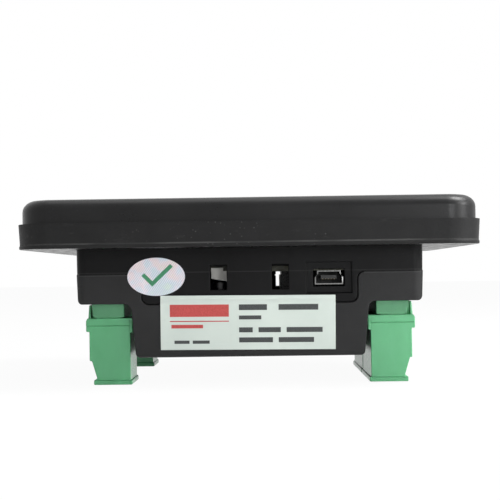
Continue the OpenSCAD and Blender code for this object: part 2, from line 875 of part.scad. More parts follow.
module board_link() {
    half = link_pins * link_pitch / 2;
    hole = link_pin_half + 0.13;
    color([0.1, 0.1, 0.1])
    difference() {
        box(-half, half, link_y - link_half, link_y + link_half, board_top, display_z);
        for (i = [0 : link_pins - 1])
            box(link_x(i) - hole, link_x(i) + hole, link_y - hole, link_y + hole, board_top + link_floor,
                display_z + over);
    }
}

module board_link_pins() {
    half = link_pin_half;
    tip_gap = 0.5;
    tail = 1.2;
    color([0.8, 0.7, 0.4])
    for (i = [0 : link_pins - 1])
        box(link_x(i) - half, link_x(i) + half, link_y - half, link_y + half,
            board_top + link_floor + tip_gap, display_top + tail);
}

module processor() {
    half = processor_w / 2;
    color([0.12, 0.12, 0.13])
    translate([processor_place[0], processor_place[1], 0])
        box(-half, half, -half, half, board_top, board_top + processor_h);
}

// Sealed relay with a stepped base
module relay() {
    base_h = 1;
    base_in = 0.4;
    half = relay_size / 2;
    box(-half[0], half[0], -half[1], half[1], board_z - relay_size[2], board_z - base_h);
    box(base_in - half[0], half[0] - base_in, base_in - half[1], half[1] - base_in,
        board_z - base_h, board_z);
}

module relays() {
    color([0.2, 0.35, 0.6])
    union() {
        for (x = [-relay_x, relay_x])
            for (y = relay_y)
                translate([x, y, 0])
                    relay();
    }
}

// Upright electrolytic capacitors with a crimped neck by the board
module capacitors() {
    neck = 0.5;
    color([0.72, 0.72, 0.74])
    for (place = capacitor_places)
        translate([place[0], place[1], board_z])
            rotate_extrude($fn = fine)
                polygon([[0, 0], [capacitor_r, 0], [capacitor_r, -1.5], [capacitor_r - neck, -2],
                         [capacitor_r - neck, -2.6], [capacitor_r, -3.1],
                         [capacitor_r, 0.6 - capacitor_h], [capacitor_r - 0.6, -capacitor_h],
                         [0, -capacitor_h]]);
}

// Shielded choke with a groove under its top flange
module choke() {
    edge = 0.5;
    flange = 1;
    groove = 0.3;
    waist = choke_r - groove;
    color([0.25, 0.25, 0.27])
    translate([choke_place[0], choke_place[1], board_z])
        rotate_extrude($fn = fine)
            polygon([[0, 0], [choke_r, 0], [choke_r, -flange], [waist, -flange],
                     [waist, -flange - groove], [choke_r, -flange - groove], [choke_r, edge - choke_h],
                     [choke_r - edge, -choke_h], [0, -choke_h]]);
}

// Pale board socket behind a clip slot, its front plate standing in the board notch
module board_socket() {
    back_gap = 0.2;
    slant = 0.85;
    key_w = 1.2;
    key_z = board_z + 0.2;
    body_in = 0.6;
    plate = [[socket_x0, socket_z + slant], [socket_x1, socket_z], [socket_x1, key_z],
             [socket_x1 - key_w, key_z], [socket_x1 - key_w, socket_top], [socket_x0, socket_top]];
    front = notch_d - board_half_y - back_gap - socket_t;
    color([0.85, 0.85, 0.8])
    union() {
        along_y(front, front + socket_t)
            polygon(plate);
        box(socket_x0 + body_in, socket_x1 - body_in, front, front + socket_t + socket_l,
            socket_z + slant, board_z);
    }
}

module port_shell() {
    color([0.8, 0.8, 0.82])
    translate([port_x, 0, 0])
        difference() {
            along_y(port_front, port_front + port_l)
                polygon(port_outline(0));
            along_y(port_front - over, port_front + port_l - port_wall)
                polygon(port_outline(port_wall));
        }
}

module port_insert() {
    slack = 0.05;
    back = port_front + port_l - port_wall;
    tongue_top = board_z - 1.35;
    color([0.12, 0.12, 0.12])
    translate([port_x, 0, 0]) {
        along_y(back - 2.2, back - slack)
            polygon(port_outline(port_wall + slack));
        box(-2.2, 2.2, port_front + 1.2, back - 2, tongue_top - 1, tongue_top);
    }
}

// Housing of a pin header, open towards its plug
module header_housing(row) {
    y0 = row[2] - header_end;
    y1 = row_end(row) + header_end;
    hole = pin_w / 2 + 0.05;
    color([0.36, 0.63, 0.45])
    on_side(row)
        difference() {
            box(header_in, header_out, y0, y1, mouth_z, board_z);
            box(header_in + header_wall, header_out - header_wall, row[2], row_end(row),
                mouth_z - over, mouth_z + header_cavity);
            along_y(y0 - over, y1 + over)
                polygon([[header_out - header_wedge, mouth_z], [header_out, shoulder_z],
                         [header_out + over, shoulder_z], [header_out + over, mouth_z - over],
                         [header_out - header_wedge, mouth_z - over]]);
            for (i = [0 : row[1] - 1])
                box(pin_u - hole, pin_u + hole, pole_y(row, i) - hole, pole_y(row, i) + hole,
                    mouth_z, board_z + over);
        }
}

module header_pins(row) {
    half = pin_w / 2;
    color([0.82, 0.82, 0.8])
    on_side(row)
        for (i = [0 : row[1] - 1])
            box(pin_u - half, pin_u + half, pole_y(row, i) - half, pole_y(row, i) + half,
                mouth_z + 1.6, board_top + 1.5);
}

// Plug body with its collar, contact nose, latch ribs, wire entries and screw bores
module plug_housing(row) {
    y0 = row[2] + 0.05;
    y1 = row_end(row) - 0.05;
    tip_in = header_wall + plug_fit;
    slot_half = 1.3;
    latch_half = 1.4;
    latch_top = shoulder_z - 0.4;
    latch_u = header_out + 0.35;
    color([0.36, 0.65, 0.46])
    on_side(row)
        difference() {
            union() {
                along_y(y0 + end_step, y1 - end_step)
                    polygon(plug_profile());
                along_y(y0, y1)
                    polygon(collar_profile());
                box(plug_inner - foot_in, plug_outer - foot_back, y0, y1, 0, foot_h);
                box(header_in + tip_in, header_out - tip_in, row[2] + plug_fit, row_end(row) - plug_fit,
                    plug_h - over, plug_tip);
                for (i = [0 : row[1] - 1])
                    along_y(pole_y(row, i) - latch_half, pole_y(row, i) + latch_half)
                        polygon([[latch_u, plug_h - over], [plug_outer + nose_out - 0.5, plug_h - over],
                                 [plug_outer + nose_out - 0.5, plug_h], [latch_u + 0.5, latch_top],
                                 [latch_u, latch_top]]);
            }
            for (i = [0 : row[1] - 1])
                translate([0, pole_y(row, i), 0]) {
                    rod(screw_u, 0, bore_r, -over, chamber_z0 + over);
                    box(chamber_u0, chamber_u1, -chamber_half, chamber_half, chamber_z0, chamber_z1);
                    along_y(-entry_half, entry_half)
                        polygon([[chamber_u1 - over, chamber_z0 + 1.2], [plug_outer - 0.8, chamber_z0 + 1.2],
                                 [plug_outer + over, chamber_z0 - 0.2], [plug_outer + over, chamber_z1 + 0.4],
                                 [plug_outer - 0.8, chamber_z1 - 0.8], [chamber_u1 - over, chamber_z1 - 0.8]]);
                    box(pin_u - 1.5, pin_u + 1.5, -slot_half, slot_half, chamber_z1 - over, plug_tip + over);
                }
        }
}

// Fork contact that grips each pin
module plug_contacts(row) {
    leaf = 0.3;
    inner = pin_w / 2 + 0.25;
    half = 0.9;
    color([0.8, 0.72, 0.5])
    on_side(row)
        for (i = [0 : row[1] - 1])
            translate([pin_u, pole_y(row, i), 0]) {
                box(-inner - leaf, inner + leaf, -half, half, chamber_z1, chamber_z1 + leaf);
                for (s = [-1, 1])
                    box(s * (inner + leaf / 2) - leaf / 2, s * (inner + leaf / 2) + leaf / 2, -half, half,
                        chamber_z1 + leaf, plug_tip - 0.5);
            }
}

// Lift clamp that draws the wire up with its screw
module plug_clamps(row) {
    half = chamber_half - cage_fit;
    low = chamber_z0 + cage_fit;
    high = chamber_z1 - cage_fit;
    color([0.75, 0.75, 0.74])
    on_side(row)
        for (i = [0 : row[1] - 1])
            translate([0, pole_y(row, i), 0])
                difference() {
                    box(chamber_u0 + cage_fit, chamber_u1 - cage_fit, -half, half, low, high);
                    box(chamber_u0 - over, chamber_u1 + over, cage_wall - half, half - cage_wall,
                        low + cage_wall, high - cage_wall);
                    rod(screw_u, 0, clamp_screw_r + cage_fit, low - over, low + cage_wall + over);
                }
}

module plug_screws(row) {
    head_low = 2.4;
    head_high = 4.4;
    color([0.78, 0.78, 0.8])
    on_side(row)
        for (i = [0 : row[1] - 1])
            translate([screw_u, pole_y(row, i), 0])
                difference() {
                    union() {
                        rod(0, 0, bore_r - 0.2, head_low, head_high);
                        rod(0, 0, clamp_screw_r, head_high, chamber_z0 + 2 * clamp_screw_r);
                    }
                    box(-0.35, 0.35, -bore_r, bore_r, head_low - over, head_low + 0.9);
                }
}

module header_left_near() { header_housing(LN); }
module header_left_far() { header_housing(LF); }
module header_right_near() { header_housing(RN); }
module header_right_far() { header_housing(RF); }
module pins_left_near() { header_pins(LN); }
module pins_left_far() { header_pins(LF); }
module pins_right_near() { header_pins(RN); }
module pins_right_far() { header_pins(RF); }
module plug_left_near() { plug_housing(LN); }
module plug_left_far() { plug_housing(LF); }
module plug_right_near() { plug_housing(RN); }
module plug_right_far() { plug_housing(RF); }
module contacts_left_near() { plug_contacts(LN); }
module contacts_left_far() { plug_contacts(LF); }
module contacts_right_near() { plug_contacts(RN); }
module contacts_right_far() { plug_contacts(RF); }
module clamps_left_near() { plug_clamps(LN); }
module clamps_left_far() { plug_clamps(LF); }
module clamps_right_near() { plug_clamps(RN); }
module clamps_right_far() { plug_clamps(RF); }
module screws_left_near() { plug_screws(LN); }
module screws_left_far() { plug_screws(LF); }
module screws_right_near() { plug_screws(RN); }
module screws_right_far() { plug_screws(RF); }

front_case();
sealing_gasket();
rear_cover();
front_overlay();
display_window();
case_screws();
lcd_glass();
lcd_frame();
display_board();
display_board_screws();
key_stop();
key_manual();
key_auto();
key_test();
key_start();
plunger_stop();
plunger_manual();
plunger_auto();
plunger_test();
plunger_start();
switch_bodies();
light_guides();
status_leds();
main_board();
board_link();
board_link_pins();
processor();
relays();
capacitors();
choke();
board_socket();
port_shell();
port_insert();
header_left_near();
header_left_far();
header_right_near();
header_right_far();
pins_left_near();
pins_left_far();
pins_right_near();
pins_right_far();
plug_left_near();
plug_left_far();
plug_right_near();
plug_right_far();
contacts_left_near();
contacts_left_far();
contacts_right_near();
contacts_right_far();
clamps_left_near();
clamps_left_far();
clamps_right_near();
clamps_right_far();
screws_left_near();
screws_left_far();
screws_right_near();
screws_right_far();
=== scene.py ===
import json
import math

import bmesh
import bpy
from mathutils import Matrix, Vector
from mathutils.geometry import intersect_point_line

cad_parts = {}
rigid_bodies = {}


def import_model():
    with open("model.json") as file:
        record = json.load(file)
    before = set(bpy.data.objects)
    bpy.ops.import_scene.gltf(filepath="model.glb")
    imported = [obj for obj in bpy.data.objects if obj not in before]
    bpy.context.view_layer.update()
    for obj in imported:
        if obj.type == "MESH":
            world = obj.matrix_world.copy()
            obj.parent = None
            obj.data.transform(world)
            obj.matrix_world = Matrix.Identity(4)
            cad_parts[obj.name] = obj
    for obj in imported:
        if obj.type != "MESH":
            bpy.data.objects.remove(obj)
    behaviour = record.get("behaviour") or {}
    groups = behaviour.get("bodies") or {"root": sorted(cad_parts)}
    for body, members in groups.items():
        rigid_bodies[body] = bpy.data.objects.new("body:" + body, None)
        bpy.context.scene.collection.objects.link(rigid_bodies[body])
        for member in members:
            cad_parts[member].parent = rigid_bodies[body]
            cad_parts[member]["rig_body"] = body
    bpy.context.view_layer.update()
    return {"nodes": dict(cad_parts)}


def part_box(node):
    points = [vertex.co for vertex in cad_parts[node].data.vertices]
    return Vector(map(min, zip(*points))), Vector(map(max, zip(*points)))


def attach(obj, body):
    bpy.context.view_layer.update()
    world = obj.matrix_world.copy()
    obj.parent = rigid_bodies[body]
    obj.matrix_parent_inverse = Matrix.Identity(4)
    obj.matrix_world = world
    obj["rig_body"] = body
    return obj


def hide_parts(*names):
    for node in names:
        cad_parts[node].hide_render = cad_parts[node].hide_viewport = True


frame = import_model()

MM = 0.001
NODES = frame["nodes"]
SIDES = ("left_near", "left_far", "right_near", "right_far")
KEYS = ("stop", "manual", "auto", "test", "start")

# Housing and seal, in mm
WALL_Y = -42.0
WALL_SKIN = 0.1
TONGUE_Z = 22.5
TONGUE_HALF = 30.0
SEAM_Z = 31.0
SEAM_GAP = 0.15
SEAM_LEFT = 0.01
SEAM_CRISP = 0.3
RIM_Z = 40.0
SOLE_Z = 38.3
COVER_PROUD = 0.15
COVER_EASE = 1.4
FACE_DRAFT = math.radians(5)
SLOT_X = 8.6
SLOT_Z = 29.6
SLOT_HALF_X = 2.5
SLOT_HALF_Z = 3.8

# Programming port, in mm
SPRING_COUNT = 5
SPRING_STEP = 0.8
SPRING_Y = -37.6
SPRING_Z = 28.88
SPRING_SIZE = (0.38, 4.6, 0.16)

# Terminal plugs, in mm
PITCH = 5.08
END_WALL = 0.05
NOSE_OUT = 0.9
RIB_Z = 10.8
RIB_SIZE = (0.5, 0.5, 7.6)
LEDGE_X = 33.4
LEDGE_Z = 16.6
LEDGE_WIDE = 0.8
LEDGE_HIGH = 4.1
LEDGE_SHORT = 0.02
POLISHED_X = 35.6

# Label and seal foil on the near wall, in mm
LABEL_LEFT = -24.8
LABEL_RIGHT = 23.8
LABEL_LOW = 9.4
LABEL_TOP = 24.5
LABEL_TURN = math.radians(0.39)
LABEL_THICK = 0.12
SEAL_X = -25.9
SEAL_Z = 30.15
SEAL_HALF_X = 8.0
SEAL_HALF_Z = 5.3
SEAL_THICK = 0.08
FOIL_LIFT = 0.02
INK_THICK = 0.03
TICK_WIDE = 1.1

# Front face, in mm
FACE_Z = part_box("front_overlay")[1].z / MM
KEY_RISE = 0.8
DISH_DEEP = 0.5
DISH_RADIUS = 24
LIGHT_COUNT = 4
LIGHT_FIRST_Y = 22
LIGHT_STEP = -8
LIGHT_SIZE = (1.3, 1.3, 0.05)
ARROW_LONG = 2.6
MARK_LIFT = 0.01
MARK_STEPS = 6

# Roundings: angles from which an edge is rounded or stays sharp, and room for it beside an opening
CORNER_ANGLE = math.radians(34)
SHARP_ANGLE = math.radians(52)
FLAT_ANGLE = math.radians(0.6)
FLAT_SLACK = 0.002 * MM
ROUND_STEPS = 2
TIGHT_ROOM = 2.4

# Camera and stage, in m
PHOTO_WIDTH = 500
FOCAL_PIXELS = 1080
SENSOR_WIDTH = 36
EYE = (-0.0003, -0.342, 0.0305)
EYE_TILT = math.radians(90 + 1.284)
EYE_ROLL = math.radians(-0.8)
EYE_WALK = math.radians(0.8)
FLOOR_HALF = 3.0
FLOOR_Z = -0.00005
FLOOR_WHITE = 0.95
AIR_COLOUR = (0.93, 0.96, 1.0, 1)
AIR_STRENGTH = 0.28
PLAIN_LIGHT = (1, 1, 1)
COOL_LIGHT = (0.97, 0.985, 1)
LAMPS = (
    # name, place, aim, width, watts, colour
    ("key_light", (0.4, -0.16, 0.19), (0, 0, 0.03), 0.2, 1.1, PLAIN_LIGHT),
    ("side_light", (0.5, -0.3, 0.05), (0.05, 0, 0.045), 0.25, 0.6, PLAIN_LIGHT),
    ("front_light", (0.245, -0.5, 0.1), (0, 0, 0.03), 0.14, 0.64, COOL_LIGHT),
    ("edge_light", (0.29, -0.03, 0.46), (0.03, 0, 0.045), 0.26, 3.4, PLAIN_LIGHT),
    ("top_light", (0.05, 0.1, 0.8), (0, 0, 0.04), 0.6, 1.2, PLAIN_LIGHT),
)


# Materials

class Finish:
    """A material with one main shader and short ways to feed it."""

    WAVE_LENGTH = 0.314  # of the wave texture at scale 1

    def __init__(self, name):
        self.material = bpy.data.materials.new(name)
        self.material.use_nodes = True
        self.tree = self.material.node_tree
        self.tree.nodes.clear()
        self.shader = self.add("ShaderNodeBsdfPrincipled")
        self.output = self.add("ShaderNodeOutputMaterial")
        self.link(self.shader.outputs[0], self.output.inputs["Surface"])
        self.place = self.add("ShaderNodeTexCoord").outputs["Object"]

    def add(self, kind, **settings):
        node = self.tree.nodes.new(kind)
        for key, value in settings.items():
            setattr(node, key, value)
        return node

    def link(self, source, target):
        self.tree.links.new(source, target)

    def feed(self, socket, source):
        self.link(source, self.shader.inputs[socket])

    def fix(self, **values):
        """Sets numbers that are the same all over the surface."""
        for key, value in values.items():
            self.shader.inputs[key.replace("_", " ")].default_value = value

    def moved(self, at=(0, 0, 0), stretch=(1, 1, 1), turn=(0, 0, 0)):
        mapping = self.add("ShaderNodeMapping", vector_type="TEXTURE")
        mapping.inputs["Location"].default_value = at
        mapping.inputs["Rotation"].default_value = turn
        mapping.inputs["Scale"].default_value = stretch
        self.link(self.place, mapping.inputs["Vector"])
        return mapping.outputs["Vector"]

    def axes(self, vector):
        node = self.add("ShaderNodeSeparateXYZ")
        self.link(vector, node.inputs[0])
        return node.outputs

    def noise(self, size_mm, detail=2.0, roughness=0.5, place=None):
        node = self.add("ShaderNodeTexNoise")
        node.inputs["Scale"].default_value = 1 / (size_mm * MM)
        node.inputs["Detail"].default_value = detail
        node.inputs["Roughness"].default_value = roughness
        self.link(place or self.place, node.inputs["Vector"])
        return node.outputs[0]

    def cells(self, size_mm, feature="F1"):
        node = self.add("ShaderNodeTexVoronoi", feature=feature)
        node.inputs["Scale"].default_value = 1 / (size_mm * MM)
        self.link(self.place, node.inputs["Vector"])
        return node.outputs["Distance"]

    def stripes(self, size_mm, direction="X", place=None, distortion=0.0):
        node = self.add("ShaderNodeTexWave", bands_direction=direction)
        node.inputs["Scale"].default_value = self.WAVE_LENGTH / (size_mm * MM)
        node.inputs["Distortion"].default_value = distortion
        self.link(place or self.place, node.inputs["Vector"])
        return node.outputs["Fac"]

    def spread(self, source, low, high, out_low=0.0, out_high=1.0):
        node = self.add("ShaderNodeMapRange")
        values = {"From Min": low, "From Max": high, "To Min": out_low, "To Max": out_high}
        for key, value in values.items():
            node.inputs[key].default_value = value
        self.link(source, node.inputs["Value"])
        return node.outputs["Result"]

    def ramp(self, source, *stops):
        node = self.add("ShaderNodeValToRGB")
        points = node.color_ramp.elements
        while len(points) < len(stops):
            points.new(0.5)
        for point, (at, colour) in zip(points, stops):
            point.position = at
            point.color = (*colour, 1)
        self.link(source, node.inputs["Fac"])
        return node.outputs["Color"]

    def mix(self, share, first, second):
        node = self.add("ShaderNodeMix", data_type="RGBA")
        ends = [s for s in node.inputs if s.type == "RGBA"]
        for socket, value in zip(ends, (first, second)):
            if isinstance(value, tuple):
                socket.default_value = (*value, 1)
            else:
                self.link(value, socket)
        self.link(share, node.inputs[0])
        return [s for s in node.outputs if s.type == "RGBA"][0]

    def combine(self, first, second, how="ADD"):
        node = self.add("ShaderNodeMath", operation=how)
        for socket, value in zip(node.inputs, (first, second)):
            if isinstance(value, (int, float)):
                socket.default_value = value
            else:
                self.link(value, socket)
        return node.outputs[0]

    def absolute(self, source):
        return self.combine(source, 0, "ABSOLUTE")

    def bump(self, height, depth_mm):
        node = self.add("ShaderNodeBump")
        node.inputs["Strength"].default_value = 1.0
        node.inputs["Distance"].default_value = depth_mm * MM
        self.link(height, node.inputs["Height"])
        self.feed("Normal", node.outputs["Normal"])


def grey(level):
    return (level, level, level)


def moulded_plastic(name, dark, light, rough, grain_mm=0.35, grain_depth=0.02, gloss=0.5,
                    scuffs=None, painted_edge_lines=()):
    """Moulding with grain; painted_edge_lines are lines of painted highlight and painted shade
    along an edge: height, half width in mm, colour.
    """
    f = Finish(name)
    cloud = f.noise(17, 4)
    grain = f.noise(grain_mm, 2)
    colour = f.ramp(cloud, (0.3, dark), (0.7, light))
    if scuffs:
        rub = f.spread(f.noise(1.1, 6, 0.7), 0.62, 0.78)
        patch = f.spread(f.noise(11, 2), 0.5, 0.68)
        colour = f.mix(f.combine(rub, patch, "MULTIPLY"), colour, scuffs)
    if painted_edge_lines:
        height_mm = f.axes(f.moved(stretch=(MM, MM, MM)))["Z"]
    # Lines of painted highlight and painted shade along an edge
    for height, half, painted_tone in painted_edge_lines:
        away = f.absolute(f.combine(height_mm, height, "SUBTRACT"))
        colour = f.mix(f.spread(away, half, half / 2), colour, painted_tone)
    f.feed("Base Color", colour)
    f.feed("Roughness", f.spread(f.combine(grain, cloud), 0.7, 1.3, rough - 0.07, rough + 0.07))
    f.fix(Specular_IOR_Level=gloss)
    f.bump(grain, grain_depth)
    return f.material


def seal_rubber(name, sole):
    """Dusty rubber with a painted highlight line along the ledge of the flange; the sole is the
    smoother face that lies on the panel.
    """
    handled_x, ledge_z = -10, 39.2
    f = Finish(name)
    cloud = f.noise(9, 4)
    colour = f.ramp(cloud, (0.3, (0.005, 0.005, 0.0052)), (0.75, (0.009, 0.009, 0.0092)))
    spot = f.axes(f.moved(at=(handled_x * MM, 0, ledge_z * MM), stretch=(MM, MM, MM)))

    # Specks, most of them where the band was handled
    hit = f.spread(f.cells(1.25), 0.16, 0.08)
    handled = f.spread(f.absolute(spot["X"]), 13, 6, 0, 0.9)
    chance = f.combine(f.spread(f.noise(8, 2), 0.55, 0.64), handled, "MAXIMUM")
    specks = f.combine(hit, chance, "MULTIPLY")

    # Smears, and a painted highlight line along the ledge of the flange, broken into patches
    smear = f.spread(f.noise(5, 5, 0.65, f.moved(stretch=(2.6, 1, 0.8))), 0.6, 0.85, 0.0, 0.5)
    ledge_highlight_band = f.spread(f.absolute(spot["Z"]), 0.3, 0.12)
    patches = f.spread(f.noise(6, 3, 0.5, f.moved(stretch=(3, 3, 1))), 0.4, 0.6, 0.25, 0.85)
    painted_ledge_highlight = f.combine(ledge_highlight_band, patches, "MULTIPLY")
    dust_and_ledge_highlight = f.combine(f.combine(specks, smear, "MAXIMUM"), painted_ledge_highlight, "MAXIMUM")

    # Dust and the painted ledge highlight are mixed in as one pale grey.
    f.feed("Base Color", f.mix(dust_and_ledge_highlight, colour, (0.06, 0.06, 0.058)))
    if sole:
        skin = f.noise(2.4, 3, 0.5, f.moved(stretch=(1, 3, 1)))
        f.feed("Roughness", f.spread(skin, 0.32, 0.68, 0.24, 0.44))
    else:
        skin = f.combine(f.noise(0.5, 3), dust_and_ledge_highlight)
        f.feed("Roughness", f.spread(skin, 0.3, 1.4, 0.5, 0.75))
    f.fix(Specular_IOR_Level=0.5 if sole else 0.22)
    f.bump(f.noise(0.9, 4), 0.02 if sole else 0.035)
    return f.material


def terminal_green(name, deep, light, rough, polish=0.0):
    f = Finish(name)
    flow = f.noise(6, 3, 0.5, f.moved(stretch=(1, 1, 2.4)))
    f.feed("Base Color", f.ramp(flow, (0.25, deep), (0.75, light)))
    skin = f.noise(0.45, 3)
    f.feed("Roughness", f.spread(skin, 0.3, 0.7, rough - 0.06, rough + 0.08))
    f.fix(Specular_IOR_Level=0.45, Subsurface_Weight=0.18, Subsurface_Scale=0.0009,
          Subsurface_Radius=(0.4, 1.0, 0.5), Coat_Weight=polish, Coat_Roughness=0.06)
    f.bump(f.noise(0.8, 3), 0.012 - 0.009 * polish)
    return f.material


def plated_metal(name, dark, light, rough):
    f = Finish(name)
    brush = f.noise(0.25, 4, 0.6, f.moved(stretch=(1, 1, 6)))
    f.feed("Base Color", f.ramp(brush, (0.25, dark), (0.75, light)))
    f.feed("Roughness", f.spread(brush, 0.25, 0.75, rough - 0.07, rough + 0.1))
    f.fix(Metallic=1.0)
    f.bump(brush, 0.004)
    return f.material


def circuit_board(name):
    """Green resist over tracks, with the bare laminate on the cut edges."""
    f = Finish(name)
    copper = f.spread(f.cells(2.6, "DISTANCE_TO_EDGE"), 0.04, 0.1)
    weave = f.noise(0.6, 2)
    green = f.ramp(weave, (0.3, (0.012, 0.085, 0.032)), (0.7, (0.02, 0.12, 0.045)))
    face = f.mix(copper, (0.035, 0.19, 0.08), green)
    facing = f.axes(f.add("ShaderNodeTexCoord").outputs["Normal"])
    level = f.spread(f.absolute(facing["Z"]), 0.4, 0.6)
    cut_edge = f.ramp(weave, (0.3, (0.028, 0.03, 0.012)), (0.7, (0.05, 0.05, 0.022)))
    f.feed("Base Color", f.mix(level, cut_edge, face))
    f.feed("Roughness", f.spread(weave, 0.3, 0.7, 0.28, 0.42))
    f.bump(copper, 0.03)
    return f.material


def clear_window(name):
    f = Finish(name)
    haze = f.noise(7, 4)
    f.feed("Base Color", f.ramp(haze, (0.3, (0.02, 0.024, 0.022)), (0.7, (0.03, 0.034, 0.032))))
    f.feed("Roughness", f.spread(haze, 0.3, 0.7, 0.03, 0.08))
    f.fix(Alpha=0.3, IOR=1.49, Specular_IOR_Level=1.0)
    return f.material


def display_glass(name):
    dot_mm = 0.42
    f = Finish(name)
    rows = f.stripes(dot_mm, "Y")
    columns = f.stripes(dot_mm, "X")
    grid = f.spread(f.combine(rows, columns, "MINIMUM"), 0.04, 0.2)
    glow = f.noise(22, 2)
    field = f.ramp(glow, (0.3, (0.235, 0.285, 0.19)), (0.7, (0.275, 0.325, 0.215)))
    f.feed("Base Color", f.mix(grid, (0.2, 0.245, 0.165), field))
    f.feed("Roughness", f.spread(glow, 0.3, 0.7, 0.16, 0.24))
    f.bump(grid, 0.01)
    return f.material


def overlay_film(name):
    f = Finish(name)
    grain = f.noise(0.22, 2)
    cloud = f.noise(25, 3)
    colour = f.ramp(cloud, (0.3, (0.03, 0.036, 0.046)), (0.7, (0.038, 0.045, 0.057)))
    f.feed("Base Color", colour)
    f.feed("Roughness", f.spread(grain, 0.3, 0.7, 0.4, 0.56))
    f.bump(grain, 0.02)
    return f.material


def printed_ink(name, colour):
    """Screen print, a little paler where the ink lies thin."""
    f = Finish(name)
    screen = f.noise(0.3, 3)
    thin = tuple(min(1.0, c * 1.35 + 0.015) for c in colour)
    f.feed("Base Color", f.ramp(screen, (0.35, colour), (0.75, thin)))
    f.feed("Roughness", f.spread(screen, 0.3, 0.7, 0.36, 0.5))
    return f.material


def label_foil(name):
    f = Finish(name)
    fibre = f.noise(0.35, 4, 0.6, f.moved(stretch=(5, 1, 1)))
    cloud = f.noise(13, 3)
    paper = f.ramp(cloud, (0.3, (0.59, 0.655, 0.604)), (0.7, (0.637, 0.702, 0.647)))
    worn = f.spread(fibre, 0.62, 0.75, 0.0, 0.35)
    f.feed("Base Color", f.mix(worn, paper, (0.515, 0.58, 0.534)))
    f.feed("Roughness", f.spread(fibre, 0.3, 0.7, 0.3, 0.45))
    f.fix(Metallic=0.15)
    f.bump(f.noise(1.4, 3), 0.012)
    return f.material


def seal_foil(name):
    """Silvery foil whose tint drifts from green to blue and rose."""
    f = Finish(name)
    drift = f.noise(3.4, 2)
    lines = f.stripes(0.5, "X", f.moved(turn=(0, math.radians(35), 0)), 1.5)
    tint = f.combine(drift, f.spread(lines, 0, 1, -0.08, 0.08))
    colour = f.ramp(
        tint, (0.28, (0.62, 0.72, 0.66)), (0.42, (0.55, 0.62, 0.74)), (0.52, (0.74, 0.72, 0.74)),
        (0.62, (0.76, 0.58, 0.62)), (0.76, (0.7, 0.74, 0.66)))
    f.feed("Base Color", colour)
    f.feed("Roughness", f.spread(lines, 0, 1, 0.25, 0.42))
    f.fix(Metallic=0.35)
    f.bump(lines, 0.01)
    return f.material


def sintered(name, dark, light):
    f = Finish(name)
    grit = f.noise(0.5, 5, 0.65)
    f.feed("Base Color", f.ramp(grit, (0.3, dark), (0.7, light)))
    f.feed("Roughness", f.spread(grit, 0.3, 0.7, 0.55, 0.75))
    f.bump(grit, 0.03)
    return f.material


def key_plastic(name, dark, light):
    return moulded_plastic(name, dark, light, 0.42, 0.4, 0.015)


BEZEL_BLACK = moulded_plastic(
    "bezel_black", (0.0035, 0.0035, 0.0037), (0.006, 0.006, 0.0063), 0.34, 0.4, 0.015, 0.25,
    scuffs=grey(0.03))
# The case carries a painted highlight line just above the seam.
CASE_BLACK = moulded_plastic(
    "case_black", (0.0055, 0.0055, 0.0057), (0.0085, 0.0085, 0.0088), 0.4, 0.4, 0.015, 0.1,
    scuffs=grey(0.03), painted_edge_lines=[(SEAM_Z + 0.3, 0.17, grey(0.019))])
# The cover carries a painted highlight line just below the seam and a painted shade line in the
# seam gap.
COVER_BLACK = moulded_plastic(
    "cover_black", (0.0165, 0.0165, 0.0168), (0.0235, 0.0235, 0.0238), 0.52, 0.45, 0.026, 0.18,
    scuffs=grey(0.05),
    painted_edge_lines=[(SEAM_Z - 0.4, 0.17, grey(0.036)), (SEAM_Z - 0.1, 0.24, grey(0.003))])
# Near-black finish on the walls of the clip slots: painted shade inside the slots.
SLOT_PAINTED_SHADE = moulded_plastic("slot_walls_painted_shade", grey(0.003), grey(0.005), 0.7, gloss=0.06)
DARK_MOULDING = moulded_plastic("dark_moulding", grey(0.01), grey(0.016), 0.5)
WHITE_MOULDING = moulded_plastic("white_moulding", (0.62, 0.62, 0.59), (0.7, 0.7, 0.67), 0.45)
RELAY_DARK = moulded_plastic(
    "relay_dark", (0.025, 0.025, 0.028), (0.04, 0.04, 0.044), 0.3, 0.6)
SLEEVE = moulded_plastic(
    "capacitor_sleeve", (0.008, 0.009, 0.014), (0.014, 0.016, 0.024), 0.22, 0.9, 0.006)
PALE_MOULDING = moulded_plastic("socket_pale", (0.47, 0.465, 0.43), (0.56, 0.55, 0.515), 0.4)
LIGHT_GUIDE = moulded_plastic(
    "light_guide_clear", (0.72, 0.76, 0.78), (0.8, 0.83, 0.85), 0.2, 0.8, 0.004)
LED_RESIN = moulded_plastic(
    "led_resin", (0.7, 0.64, 0.4), (0.78, 0.72, 0.48), 0.25, 0.8, 0.004)
RUBBER = seal_rubber("seal_rubber_band", False)
RUBBER_SOLE = seal_rubber("seal_rubber_sole", True)
PLUG_DEEP = (0.095, 0.365, 0.168)
PLUG_LIGHT = (0.125, 0.43, 0.21)
PLUG_GREEN = terminal_green("plug_green", PLUG_DEEP, PLUG_LIGHT, 0.36)
PLUG_POLISHED = terminal_green("plug_green_polished", PLUG_DEEP, PLUG_LIGHT, 0.3, 0.15)
# Header green is a darker copy of the plug green: painted shade under the shoulders of the cover.
HEADER_GREEN_SHADED = terminal_green("header_green_painted_shade", (0.07, 0.243, 0.118), (0.092, 0.295, 0.145), 0.32)
SCREW_STEEL = plated_metal("screw_steel", grey(0.5), grey(0.68), 0.32)
CLAMP_STEEL = plated_metal("clamp_steel", (0.46, 0.46, 0.45), (0.62, 0.62, 0.61), 0.36)
CONTACT_METAL = plated_metal("tinned_contact", (0.62, 0.55, 0.36), (0.8, 0.73, 0.52), 0.28)
PORT_METAL = plated_metal("port_shell_metal", (0.17, 0.17, 0.167), (0.25, 0.25, 0.246), 0.28)
